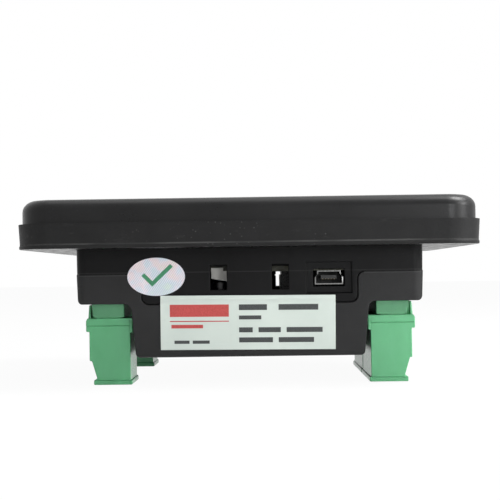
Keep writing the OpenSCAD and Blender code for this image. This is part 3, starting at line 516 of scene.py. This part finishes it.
# Near-black plastic on the faces inside the port shell: painted shade in the depth of the port.
PORT_PAINTED_SHADE = moulded_plastic("port_inside_painted_shade", grey(0.012), grey(0.02), 0.55)
GOLD_SPRING = plated_metal("gold_spring", (0.26, 0.22, 0.15), (0.36, 0.31, 0.22), 0.3)
BOARD = circuit_board("board_resist")
WINDOW = clear_window("display_window_clear")
DISPLAY = display_glass("display_glass_grey")
OVERLAY = overlay_film("front_overlay_film")
FERRITE = sintered("choke_ferrite", (0.04, 0.04, 0.043), (0.065, 0.065, 0.068))
LABEL = label_foil("rating_label_foil")
SEAL = seal_foil("inspection_seal_foil")
INK_DARK = printed_ink("ink_dark", (0.03, 0.034, 0.034))
INK_RED = printed_ink("ink_red", (0.42, 0.045, 0.04))
INK_GREEN = printed_ink("ink_green", (0.03, 0.2, 0.09))
INK_PALE = printed_ink("ink_pale", (0.55, 0.57, 0.58))
KEY_FINISH = {
    "stop": key_plastic("key_red", (0.42, 0.02, 0.016), (0.5, 0.03, 0.022)),
    "manual": key_plastic("key_grey", (0.44, 0.44, 0.43), (0.52, 0.52, 0.5)),
    "start": key_plastic("key_green", (0.02, 0.2, 0.055), (0.03, 0.26, 0.075)),
}
KEY_FINISH["auto"] = KEY_FINISH["test"] = KEY_FINISH["manual"]


# Making and placing pieces

def piece_from(name, bm, *finishes):
    mesh = bpy.data.meshes.new(name)
    bm.to_mesh(mesh)
    bm.free()
    for finish in finishes:
        mesh.materials.append(finish)
    piece = bpy.data.objects.new(name, mesh)
    bpy.context.scene.collection.objects.link(piece)
    return piece


def applied(piece):
    """Turns the piece and its modifiers into a plain mesh."""
    graph = bpy.context.evaluated_depsgraph_get()
    mesh = bpy.data.meshes.new_from_object(piece.evaluated_get(graph))
    old = piece.data
    piece.modifiers.clear()
    piece.data = mesh
    bpy.data.meshes.remove(old)
    return piece


def even_normals(piece):
    weighted = piece.modifiers.new("even_normals", "WEIGHTED_NORMAL")
    weighted.keep_sharp = True
    weighted.weight = 60
    return applied(piece)


def dress(node, finish):
    """Gives a CAD node a finish and leaves its shape."""
    slots = NODES[node].data.materials
    slots.clear()
    slots.append(finish)


def prism(bm, low, high):
    """Closed solid between two rings of corners."""
    bm.faces.new(high)
    bm.faces.new(low[::-1])
    for i in range(len(low)):
        k = (i + 1) % len(low)
        bm.faces.new((low[i], low[k], high[k], high[i]))


# Moulded roundings

def softened(node, round_mm, *finishes, choose=None, fit=None):
    """Stands in for a CAD node with the moulded roundings along its edges."""
    source = NODES[node]
    bm = bmesh.new()
    bm.from_mesh(source.data)
    bmesh.ops.remove_doubles(bm, verts=bm.verts, dist=FLAT_SLACK)
    bmesh.ops.dissolve_limit(bm, angle_limit=FLAT_ANGLE, verts=bm.verts, edges=bm.edges)
    if fit:
        fit(bm)
    tight = tight_rims(bm, TIGHT_ROOM * round_mm * MM)
    edges = [e for e in bm.edges
             if len(e.link_faces) == 2 and e.calc_face_angle(0) > CORNER_ANGLE
             and not on_seam(e) and e not in tight]
    bmesh.ops.bevel(bm, geom=edges, offset=round_mm * MM, offset_type="OFFSET",
                    segments=ROUND_STEPS, profile=0.5, affect="EDGES", clamp_overlap=False)
    fill_flats(bm)
    for face in bm.faces:
        face.smooth = True
        if choose:
            face.material_index = choose(face)
    for edge in bm.edges:
        if len(edge.link_faces) == 2:
            edge.smooth = edge.calc_face_angle(0) < SHARP_ANGLE
    piece = even_normals(piece_from(node + "_moulded", bm, *finishes))
    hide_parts(node)
    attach(piece, source["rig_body"])


def on_seam(edge):
    """Edges of the two mouldings where they meet, which stay crisp."""
    return all(abs(v.co.z - SEAM_Z * MM) < SEAM_CRISP * MM for v in edge.verts)


def meet_case(bm):
    """Brings the rim of the cover up to the case, so that no light shows at the corners."""
    for v in bm.verts:
        if abs(v.co.z - (SEAM_Z - SEAM_GAP) * MM) < FLAT_SLACK:
            v.co.z = (SEAM_Z - SEAM_LEFT) * MM


def flats_with_openings(bm):
    """Groups of joined faces in one plane that have openings: faces, outlines and normal."""
    bm.normal_update()
    bm.faces.index_update()
    taken = set()
    flats = []
    for seed in sorted(bm.faces, key=lambda f: (-len(f.verts), f.index)):
        if seed.index in taken or len(seed.verts) < 5:
            continue
        origin, normal = seed.verts[0].co.copy(), seed.normal.copy()
        flat = [seed]
        members = {seed.index}
        for face in flat:
            beside = (g for e in face.edges for g in e.link_faces if g.index not in members)
            for other in beside:
                if all(abs((v.co - origin).dot(normal)) < FLAT_SLACK for v in other.verts):
                    members.add(other.index)
                    flat.append(other)
        taken |= members
        border = [e for f in flat for e in f.edges
                  if sum(g.index in members for g in e.link_faces) == 1]
        loops = closed_loops(border)
        if len(loops) > 1:
            flats.append((flat, loops, normal))
    return flats


def closed_loops(border):
    """Sorts the edges round a flat into closed lines, the longest last."""
    left = dict.fromkeys(border)
    loops = []
    while left:
        loop = [next(iter(left))]
        tip = loop[0].verts[1]
        while loop[-1] is not None:
            left.pop(loop[-1])
            loop.append(next((e for e in tip.link_edges if e in left), None))
            tip = loop[-1].other_vert(tip) if loop[-1] else tip
        loops.append(loop[:-1])
    return sorted(loops, key=lambda loop: sum(e.calc_length() for e in loop))


def near_edges(first, second, room):
    """Whether two edges of one flat come nearer to each other than the room."""
    (a, b), (c, d) = ([v.co for v in e.verts] for e in (first, second))
    if (a + b - c - d).length > (a - b).length + (c - d).length + 2 * room:
        return False
    for point, start, end in ((a, c, d), (b, c, d), (c, a, b), (d, a, b)):
        share = intersect_point_line(point, start, end)[1]
        if (point - start.lerp(end, min(max(share, 0), 1))).length < room:
            return True
    return False


def tight_rims(bm, room):
    """Edges of openings that lie too near another edge of their flat to be rounded."""
    tight = set()
    for _, loops, _ in flats_with_openings(bm):
        for rim in loops[:-1]:
            others = [e for loop in loops if loop is not rim for e in loop]
            if any(near_edges(a, b, room) for a in rim for b in others):
                tight.update(rim)
    return tight


def fill_flats(bm):
    """Fills each pierced flat again inside its outline, so that no facet spans an opening."""
    for flat, loops, normal in flats_with_openings(bm):
        outline = [e for loop in loops for e in loop]
        bmesh.ops.delete(bm, geom=flat, context="FACES_KEEP_BOUNDARY")
        bmesh.ops.triangle_fill(bm, edges=outline, normal=normal, use_beauty=True)
    bm.normal_update()


# Near wall: neck and tongue are upright, the cover stands a little proud and leans in below

def wall_at(x, z):
    """Y of a foil on the near wall; it eases down from the proud cover to tongue and neck."""
    inside = TONGUE_HALF - abs(x)
    depth = max(inside, z - SEAM_Z) if z > SEAM_Z else min(inside, z - TONGUE_Z)
    ease = min(max(depth / COVER_EASE, 0), 1)
    proud = COVER_PROUD * (1 - ease * ease * (3 - 2 * ease))
    return WALL_Y - proud - min(z - TONGUE_Z, 0) * math.tan(FACE_DRAFT)


def label_wave(x, z):
    """Slight lift of the label where it bridges the seam and at one lower corner."""
    bridge_high, bridge_half = 0.05, 0.9
    curl_high, curl_x, curl_z = 0.22, 19.9, 12.5
    bridge = bridge_high * math.exp(-((z - TONGUE_Z) / bridge_half) ** 2)
    curl = curl_high * max(0, (x - curl_x) / 4) ** 2 * max(0, (curl_z - z) / 3) ** 2
    return bridge + curl


def label_sheet(bm, x0, x1, z0, z1, lift, thick, columns, rows, ink=0):
    """Thin sheet on the near wall, turned as the label is, as a closed solid."""
    def point(i, k, off):
        across = x0 + (x1 - x0) * i / columns - LABEL_RIGHT
        down = z0 + (z1 - z0) * k / rows - LABEL_TOP
        x = LABEL_RIGHT + across * math.cos(LABEL_TURN) + down * math.sin(LABEL_TURN)
        z = LABEL_TOP + down * math.cos(LABEL_TURN) - across * math.sin(LABEL_TURN)
        return bm.verts.new(Vector((x, wall_at(x, z) - off - label_wave(x, z), z)) * MM)

    front, back = ([[point(i, k, off) for k in range(rows + 1)] for i in range(columns + 1)]
                   for off in (lift + thick, lift))
    faces = []
    for i in range(columns):
        for k in range(rows):
            faces.append((front[i][k], front[i + 1][k], front[i + 1][k + 1], front[i][k + 1]))
            faces.append((back[i][k], back[i][k + 1], back[i + 1][k + 1], back[i + 1][k]))
    rim = [(i, 0) for i in range(columns)] + [(columns, k) for k in range(rows)]
    rim += [(i, rows) for i in range(columns, 0, -1)] + [(0, k) for k in range(rows, 0, -1)]
    for (i, k), (m, n) in zip(rim, rim[1:] + rim[:1]):
        faces.append((front[i][k], back[i][k], back[m][n], front[m][n]))
    for corners in faces:
        bm.faces.new(corners).material_index = ink


def rating_label():
    """Bare label with plain bars in place of print."""
    bm = bmesh.new()
    label_sheet(bm, LABEL_LEFT, LABEL_RIGHT, LABEL_LOW, LABEL_TOP, FOIL_LIFT, LABEL_THICK, 80, 48)
    piece = piece_from("rating_label", bm, LABEL)
    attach(piece, "controller")
    dark, red = 0, 1
    bars = (
        # left, right, low, top, ink
        (-22.2, -5.8, 18.6, 22.0, red), (-22.2, -5.8, 17.2, 17.5, red),
        (-21.8, -13.0, 15.4, 16.4, red),
        (-21.0, -16.8, 11.1, 12.0, dark), (-15.9, -11.2, 11.1, 12.0, dark),
        (-3.0, 4.8, 20.4, 22.0, dark), (8.0, 19.0, 20.4, 22.0, dark),
        (-3.0, 3.2, 17.8, 18.9, dark),
        (-3.0, 0.8, 14.2, 15.6, dark), (2.4, 8.6, 14.2, 15.6, dark),
        (10.2, 20.2, 14.2, 15.6, dark),
        (-3.0, 6.4, 11.4, 12.8, dark), (8.0, 17.8, 11.4, 12.8, dark),
    )
    bm = bmesh.new()
    for x0, x1, z0, z1, ink in bars:
        label_sheet(bm, x0, x1, z0, z1, 0.13, INK_THICK, 16, 4, ink)
    print_piece = piece_from("rating_label_bars", bm, INK_DARK, INK_RED)
    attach(print_piece, "controller")


def oval_sheet(bm, lift, thick, rings=10, turns=64):
    """Oval foil that follows the near wall, as a closed solid."""
    def point(r, t, off):
        angle = 2 * math.pi * t / turns
        x = SEAL_X + SEAL_HALF_X * r / rings * math.cos(angle)
        z = SEAL_Z + SEAL_HALF_Z * r / rings * math.sin(angle)
        return bm.verts.new(Vector((x, wall_at(x, z) - off, z)) * MM)

    rims = []
    for off, order in ((lift + thick, 1), (lift, -1)):
        hub = point(0, 0, off)
        loops = [[point(r, t, off) for t in range(turns)] for r in range(1, rings + 1)]
        for t in range(turns):
            n = (t + 1) % turns
            bm.faces.new((hub, loops[0][t], loops[0][n])[::order])
            for near, far in zip(loops, loops[1:]):
                bm.faces.new((near[t], far[t], far[n], near[n])[::order])
        rims.append(loops[-1])
    upper, lower = rims
    for t in range(turns):
        n = (t + 1) % turns
        bm.faces.new((upper[t], lower[t], lower[n], upper[n]))


def stroke(bm, first, last, lift):
    """Printed bar from one point of the near wall to another."""
    first, last = Vector(first), Vector(last)
    along = (last - first).normalized()
    side = Vector((-along.y, along.x)) * TICK_WIDE / 2
    start = first - along * TICK_WIDE / 2
    end = last + along * TICK_WIDE / 2
    corners = [start - side, end - side, end + side, start + side]
    low, high = ([bm.verts.new(Vector((c.x, wall_at(c.x, c.y) - off, c.y)) * MM) for c in corners]
                 for off in (lift, lift + INK_THICK))
    prism(bm, low, high)


def inspection_seal():
    bm = bmesh.new()
    oval_sheet(bm, FOIL_LIFT, SEAL_THICK)
    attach(piece_from("inspection_seal", bm, SEAL), "controller")
    bm = bmesh.new()
    stroke(bm, (-29.2, 30.4), (-27.0, 28.2), 0.1)
    stroke(bm, (-27.0, 28.2), (-22.0, 32.9), 0.14)
    bmesh.ops.recalc_face_normals(bm, faces=bm.faces)
    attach(piece_from("inspection_seal_tick", bm, INK_GREEN), "controller")


# Repeated small pieces

def row_tree(name, finish, build):
    """Node tree that sets copies of one small shape along a straight row."""
    tree = bpy.data.node_groups.new(name, "GeometryNodeTree")
    face = tree.interface
    face.new_socket("Geometry", in_out="OUTPUT", socket_type="NodeSocketGeometry")
    face.new_socket("Count", in_out="INPUT", socket_type="NodeSocketInt")
    for label in ("Start", "Step", "Size"):
        face.new_socket(label, in_out="INPUT", socket_type="NodeSocketVector")
    nodes, links = tree.nodes, tree.links
    entry = nodes.new("NodeGroupInput")
    leave = nodes.new("NodeGroupOutput")
    line = nodes.new("GeometryNodeMeshLine")
    line.mode = "OFFSET"
    links.new(entry.outputs["Count"], line.inputs["Count"])
    links.new(entry.outputs["Start"], line.inputs["Start Location"])
    links.new(entry.outputs["Step"], line.inputs["Offset"])
    shape = build(tree, entry.outputs["Size"])
    copies = nodes.new("GeometryNodeInstanceOnPoints")
    links.new(line.outputs[0], copies.inputs["Points"])
    links.new(shape, copies.inputs["Instance"])
    real = nodes.new("GeometryNodeRealizeInstances")
    links.new(copies.outputs[0], real.inputs[0])
    paint = nodes.new("GeometryNodeSetMaterial")
    paint.inputs["Material"].default_value = finish
    links.new(real.outputs[0], paint.inputs["Geometry"])
    links.new(paint.outputs[0], leave.inputs[0])
    return tree


def bar_shape(tree, size):
    cube = tree.nodes.new("GeometryNodeMeshCube")
    tree.links.new(size, cube.inputs["Size"])
    return cube.outputs["Mesh"]


def disc_shape(tree, size):
    disc = tree.nodes.new("GeometryNodeMeshCylinder")
    disc.inputs["Vertices"].default_value = 32
    disc.inputs["Radius"].default_value = 1.0
    disc.inputs["Depth"].default_value = 1.0
    grow = tree.nodes.new("GeometryNodeTransform")
    tree.links.new(disc.outputs["Mesh"], grow.inputs["Geometry"])
    tree.links.new(size, grow.inputs["Scale"])
    return grow.outputs["Geometry"]


def row_of(name, tree, body, count, start, step, size, round_mm=0.0):
    """One row as a plain mesh on its body; places and sizes in mm."""
    mesh = bpy.data.meshes.new(name)
    piece = bpy.data.objects.new(name, mesh)
    bpy.context.scene.collection.objects.link(piece)
    maker = piece.modifiers.new("row", "NODES")
    maker.node_group = tree
    values = {"Count": count, "Start": Vector(start) * MM, "Step": Vector(step) * MM,
              "Size": Vector(size) * MM}
    for item in tree.interface.items_tree:
        if item.in_out == "INPUT":
            maker[item.identifier] = values[item.name]
    if round_mm:
        edge = piece.modifiers.new("edge", "BEVEL")
        edge.width = round_mm * MM
        edge.segments = ROUND_STEPS
    applied(piece)
    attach(piece, body)


def middle_of(node):
    """X and Y of the middle of a CAD node, in mm."""
    low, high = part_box(node)
    return (low.x + high.x) / 2 / MM, (low.y + high.y) / 2 / MM


def small_rows():
    spring_row = row_tree("port_springs", GOLD_SPRING, bar_shape)
    first_x = middle_of("port_insert")[0] - (SPRING_COUNT - 1) / 2 * SPRING_STEP
    row_of("port_springs", spring_row, "controller", SPRING_COUNT, (first_x, SPRING_Y, SPRING_Z),
           (SPRING_STEP, 0, 0), SPRING_SIZE, 0.04)
    light_row = row_tree("light_windows", INK_PALE, disc_shape)
    first_light = (middle_of("light_guides")[0], LIGHT_FIRST_Y, FACE_Z + 0.015)
    row_of("light_windows", light_row, "controller", LIGHT_COUNT, first_light,
           (0, LIGHT_STEP, 0), LIGHT_SIZE)
    rib_row = row_tree("pole_ribs", PLUG_GREEN, bar_shape)
    for side in SIDES:
        low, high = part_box("plug_" + side)
        length = (high.y - low.y) / MM
        poles = round(length / PITCH)
        on_right = side.startswith("right")
        outer = high.x / MM - NOSE_OUT if on_right else low.x / MM + NOSE_OUT
        first_y = low.y / MM - END_WALL + PITCH
        row_of("pole_ribs_" + side, rib_row, "plug_" + side + "_body", poles - 1,
               (outer, first_y, RIB_Z), (0, PITCH, 0), RIB_SIZE, 0.12)
        inner = LEDGE_X if on_right else -LEDGE_X
        row_of("plug_inner_ledge_" + side, rib_row, "plug_" + side + "_body", 1,
               (inner, middle_of("plug_" + side)[1], LEDGE_Z), (0, 0, 0),
               (LEDGE_WIDE, length - LEDGE_SHORT, LEDGE_HIGH), 0.15)


# Front face

def round_outline(w, d, r, x, y, steps=8):
    points = []
    for sx, sy, a0 in ((1, 1, 0), (-1, 1, 90), (-1, -1, 180), (1, -1, 270)):
        for i in range(steps + 1):
            a = math.radians(a0 + 90 * i / steps)
            points.append((x + sx * (w / 2 - r) + r * math.cos(a),
                           y + sy * (d / 2 - r) + r * math.sin(a)))
    return points


def ring_shape(bm, outer, inner, z, thick):
    rows = [[bm.verts.new(Vector((x, y, h)) * MM) for x, y in line]
            for line, h in ((outer, z), (outer, z + thick), (inner, z + thick), (inner, z))]
    count = len(outer)
    for a, b in ((0, 1), (1, 2), (2, 3), (3, 0)):
        for i in range(count):
            k = (i + 1) % count
            bm.faces.new((rows[a][i], rows[a][k], rows[b][k], rows[b][i]))


def overlay_print():
    """Rule lines round the face, the display, the row of keys and the lights."""
    rules = (
        # width, depth, corner, x, y, line
        (101, 83, 4, 0, 0, 0.35),
        (66, 41, 2.5, 0, 8, 0.6),
        (96, 17, 3, 0, -27, 0.35),
        (9, 34, 2.5, middle_of("light_guides")[0], 10, 0.35),
    )
    bm = bmesh.new()
    for w, d, r, x, y, line in rules:
        outer = round_outline(w, d, r, x, y)
        inner = round_outline(w - 2 * line, d - 2 * line, r - line, x, y)
        ring_shape(bm, outer, inner, FACE_Z + 0.005, INK_THICK)
    bmesh.ops.recalc_face_normals(bm, faces=bm.faces)
    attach(piece_from("overlay_rule_lines", bm, INK_PALE), "controller")


def dish_z(rho):
    """Height of the finger dish of a key at a distance from its middle."""
    return FACE_Z + KEY_RISE - DISH_DEEP + DISH_RADIUS - math.sqrt(DISH_RADIUS ** 2 - rho ** 2)


def key_mark(bm, x, y, cells):
    """Printed mark that follows the finger dish of a key, from a list of corner rings."""
    for corners in cells:
        low, high = [], []
        for px, py in corners:
            z = dish_z(math.hypot(px, py)) + MARK_LIFT
            low.append(bm.verts.new(Vector((x + px, y + py, z)) * MM))
            high.append(bm.verts.new(Vector((x + px, y + py, z + INK_THICK)) * MM))
        prism(bm, low, high)


def ring_cells(outer, inner, turns=40):
    cells = []
    for t in range(turns):
        a, b = 2 * math.pi * t / turns, 2 * math.pi * (t + 1) / turns
        cells.append([(radius * math.cos(angle), radius * math.sin(angle))
                      for radius, angle in ((outer, a), (outer, b), (inner, b), (inner, a))])
    return cells


def strip_cells(x0, x1, y0, y1):
    ys = [y0 + (y1 - y0) * i / MARK_STEPS for i in range(MARK_STEPS + 1)]
    return [[(x0, a), (x1, a), (x1, b), (x0, b)] for a, b in zip(ys, ys[1:])]


def arrow_cells(x, half):
    cells = []
    for i in range(MARK_STEPS):
        a, b = i / MARK_STEPS, (i + 1) / MARK_STEPS
        ha, hb = half * (1 - a), half * (1 - b)
        xa, xb = x + ARROW_LONG * a, x + ARROW_LONG * b
        ring = [(xa, -ha), (xb, -hb), (xb, hb), (xa, ha)]
        cells.append(ring[:2] + ring[3:] if i == MARK_STEPS - 1 else ring)
    return cells


def key_marks():
    """Plain marks: a ring, two bars, a ring with a dot, two arrows and one bar."""
    marks = {
        "stop": ring_cells(2.5, 1.9),
        "manual": strip_cells(-1.9, -1.2, -2.1, 2.1) + strip_cells(1.2, 1.9, -2.1, 2.1),
        "auto": ring_cells(2.5, 1.9) + ring_cells(0.8, 0.05, 24),
        "test": arrow_cells(-2.4, 1.8) + arrow_cells(0.1, 1.8),
        "start": strip_cells(-0.35, 0.35, -2.4, 2.4),
    }
    for name in KEYS:
        x, y = middle_of("key_" + name)
        bm = bmesh.new()
        key_mark(bm, x, y, marks[name])
        bmesh.ops.recalc_face_normals(bm, faces=bm.faces)
        finish = INK_DARK if name in ("manual", "auto", "test") else INK_PALE
        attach(piece_from("key_mark_" + name, bm, finish), "key_" + name + "_body")


# Housing, terminals and inner parts

def facing_block(face):
    """1 for the inner sides of the terminals, which are smoother."""
    middle = face.calc_center_median().x
    inward = face.normal.x * middle < -0.9 * abs(middle)
    return 1 if inward and abs(middle) < POLISHED_X * MM else 0


def inside_port(face):
    """1 for the faces that look into the port, which get a painted shade."""
    low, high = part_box("port_shell")
    inward = (low + high) / 2 - face.calc_center_median()
    inward.y = 0
    return 1 if face.normal.dot(inward) > 0.5 * inward.length else 0


def case_zone(face):
    """0 for the smooth bezel, 1 for the neck and tongue, 2 for the walls of the clip slots, which
    get a painted shade.
    """
    middle = face.calc_center_median() / MM
    in_slot = (abs(abs(middle.x) - SLOT_X) < SLOT_HALF_X
               and abs(middle.z - SLOT_Z) < SLOT_HALF_Z)
    if in_slot and abs(middle.y) < -WALL_Y - WALL_SKIN:
        return 2
    return 0 if middle.z > RIM_Z else 1


def facing_down(face):
    """1 for the sole of the sealing gasket."""
    return 1 if face.normal.z < -0.85 and face.calc_center_median().z < SOLE_Z * MM else 0


def housing():
    softened("front_case", 0.25, BEZEL_BLACK, CASE_BLACK, SLOT_PAINTED_SHADE, choose=case_zone)
    softened("rear_cover", 0.3, COVER_BLACK, fit=meet_case)
    softened("sealing_gasket", 0.3, RUBBER, RUBBER_SOLE, choose=facing_down)
    softened("port_shell", 0.08, PORT_METAL, PORT_PAINTED_SHADE, choose=inside_port)
    dress("front_overlay", OVERLAY)
    dress("display_window", WINDOW)


def terminals():
    for side in SIDES:
        softened("plug_" + side, 0.25, PLUG_GREEN, PLUG_POLISHED, choose=facing_block)
        softened("header_" + side, 0.22, HEADER_GREEN_SHADED, PLUG_POLISHED, choose=facing_block)
        dress("pins_" + side, CONTACT_METAL)
        dress("contacts_" + side, CONTACT_METAL)
        dress("clamps_" + side, CLAMP_STEEL)
        dress("screws_" + side, SCREW_STEEL)


def inner_parts():
    inner = {
        "case_screws": SCREW_STEEL, "display_board_screws": SCREW_STEEL, "lcd_glass": DISPLAY,
        "lcd_frame": WHITE_MOULDING, "display_board": BOARD, "main_board": BOARD,
        "switch_bodies": DARK_MOULDING, "light_guides": LIGHT_GUIDE, "status_leds": LED_RESIN,
        "board_link": DARK_MOULDING, "board_link_pins": CONTACT_METAL,
        "processor": DARK_MOULDING, "relays": RELAY_DARK, "capacitors": SLEEVE,
        "choke": FERRITE, "board_socket": PALE_MOULDING, "port_insert": DARK_MOULDING,
    }
    for node, finish in inner.items():
        dress(node, finish)


def keys():
    for name in KEYS:
        softened("key_" + name, 0.3, KEY_FINISH[name])
        dress("plunger_" + name, DARK_MOULDING)


# Camera, air, floor and lamps

def camera():
    data = bpy.data.cameras.new("photo_camera")
    data.sensor_width = SENSOR_WIDTH
    data.lens = SENSOR_WIDTH * FOCAL_PIXELS / PHOTO_WIDTH
    data.clip_start = 0.01
    data.clip_end = 20
    eye = bpy.data.objects.new("photo_camera", data)
    tilt = Matrix.Rotation(EYE_TILT, 4, "X")
    roll = Matrix.Rotation(EYE_ROLL, 4, "Z")
    walk = Matrix.Rotation(EYE_WALK, 4, "Z")
    eye.matrix_world = walk @ Matrix.Translation(EYE) @ tilt @ roll
    bpy.context.scene.collection.objects.link(eye)
    bpy.context.scene.camera = eye


def studio_air():
    """Soft light from all round, seen as white by the camera and in reflections."""
    world = bpy.data.worlds.new("studio_air")
    bpy.context.scene.world = world
    world.use_nodes = True
    nodes, links = world.node_tree.nodes, world.node_tree.links
    nodes.clear()
    path = nodes.new("ShaderNodeLightPath")
    seen = nodes.new("ShaderNodeMath")
    seen.operation = "MAXIMUM"
    mirrored = nodes.new("ShaderNodeMath")
    mirrored.operation = "MAXIMUM"
    links.new(path.outputs["Is Glossy Ray"], mirrored.inputs[0])
    links.new(path.outputs["Is Transmission Ray"], mirrored.inputs[1])
    links.new(path.outputs["Is Camera Ray"], seen.inputs[0])
    links.new(mirrored.outputs[0], seen.inputs[1])
    air = nodes.new("ShaderNodeBackground")
    air.inputs["Color"].default_value = AIR_COLOUR
    air.inputs["Strength"].default_value = AIR_STRENGTH
    white = nodes.new("ShaderNodeBackground")
    white.inputs["Color"].default_value = (1, 1, 1, 1)
    blend = nodes.new("ShaderNodeMixShader")
    output = nodes.new("ShaderNodeOutputWorld")
    links.new(seen.outputs[0], blend.inputs[0])
    links.new(air.outputs[0], blend.inputs[1])
    links.new(white.outputs[0], blend.inputs[2])
    links.new(blend.outputs[0], output.inputs["Surface"])


def pale_floor():
    """Floor that looks nearly white and still takes the shadow of the object."""
    f = Finish("pale_floor")
    f.feed("Base Color", f.ramp(f.noise(40, 3), (0.3, grey(0.86)), (0.7, grey(0.88))))
    f.fix(Roughness=0.7)
    rays = f.add("ShaderNodeLightPath").outputs
    glow = f.add("ShaderNodeEmission")
    glow.inputs["Strength"].default_value = 1.0
    share = f.combine(rays["Is Camera Ray"], rays["Is Glossy Ray"], "MAXIMUM")
    share = f.combine(share, rays["Is Transmission Ray"], "MAXIMUM")
    blend = f.add("ShaderNodeMixShader")
    f.link(f.combine(share, FLOOR_WHITE, "MULTIPLY"), blend.inputs[0])
    f.link(f.shader.outputs[0], blend.inputs[1])
    f.link(glow.outputs[0], blend.inputs[2])
    f.link(blend.outputs[0], f.output.inputs["Surface"])
    bm = bmesh.new()
    bmesh.ops.create_grid(bm, x_segments=1, y_segments=1, size=FLOOR_HALF)
    floor = piece_from("floor", bm, f.material)
    floor.location.z = FLOOR_Z


def lamp(name, at, aim, size, power, colour):
    data = bpy.data.lights.new(name, "AREA")
    data.shape = "DISK"
    data.size = size
    data.energy = power
    data.color = colour
    light = bpy.data.objects.new(name, data)
    light.location = at
    light.rotation_mode = "QUATERNION"
    light.rotation_quaternion = (Vector(aim) - Vector(at)).to_track_quat("-Z", "Y")
    bpy.context.scene.collection.objects.link(light)


camera()
studio_air()
pale_floor()
for values in LAMPS:
    lamp(*values)
housing()
terminals()
inner_parts()
keys()
rating_label()
inspection_seal()
small_rows()
overlay_print()
key_marks()

bpy.context.scene.view_settings.view_transform = "Standard"
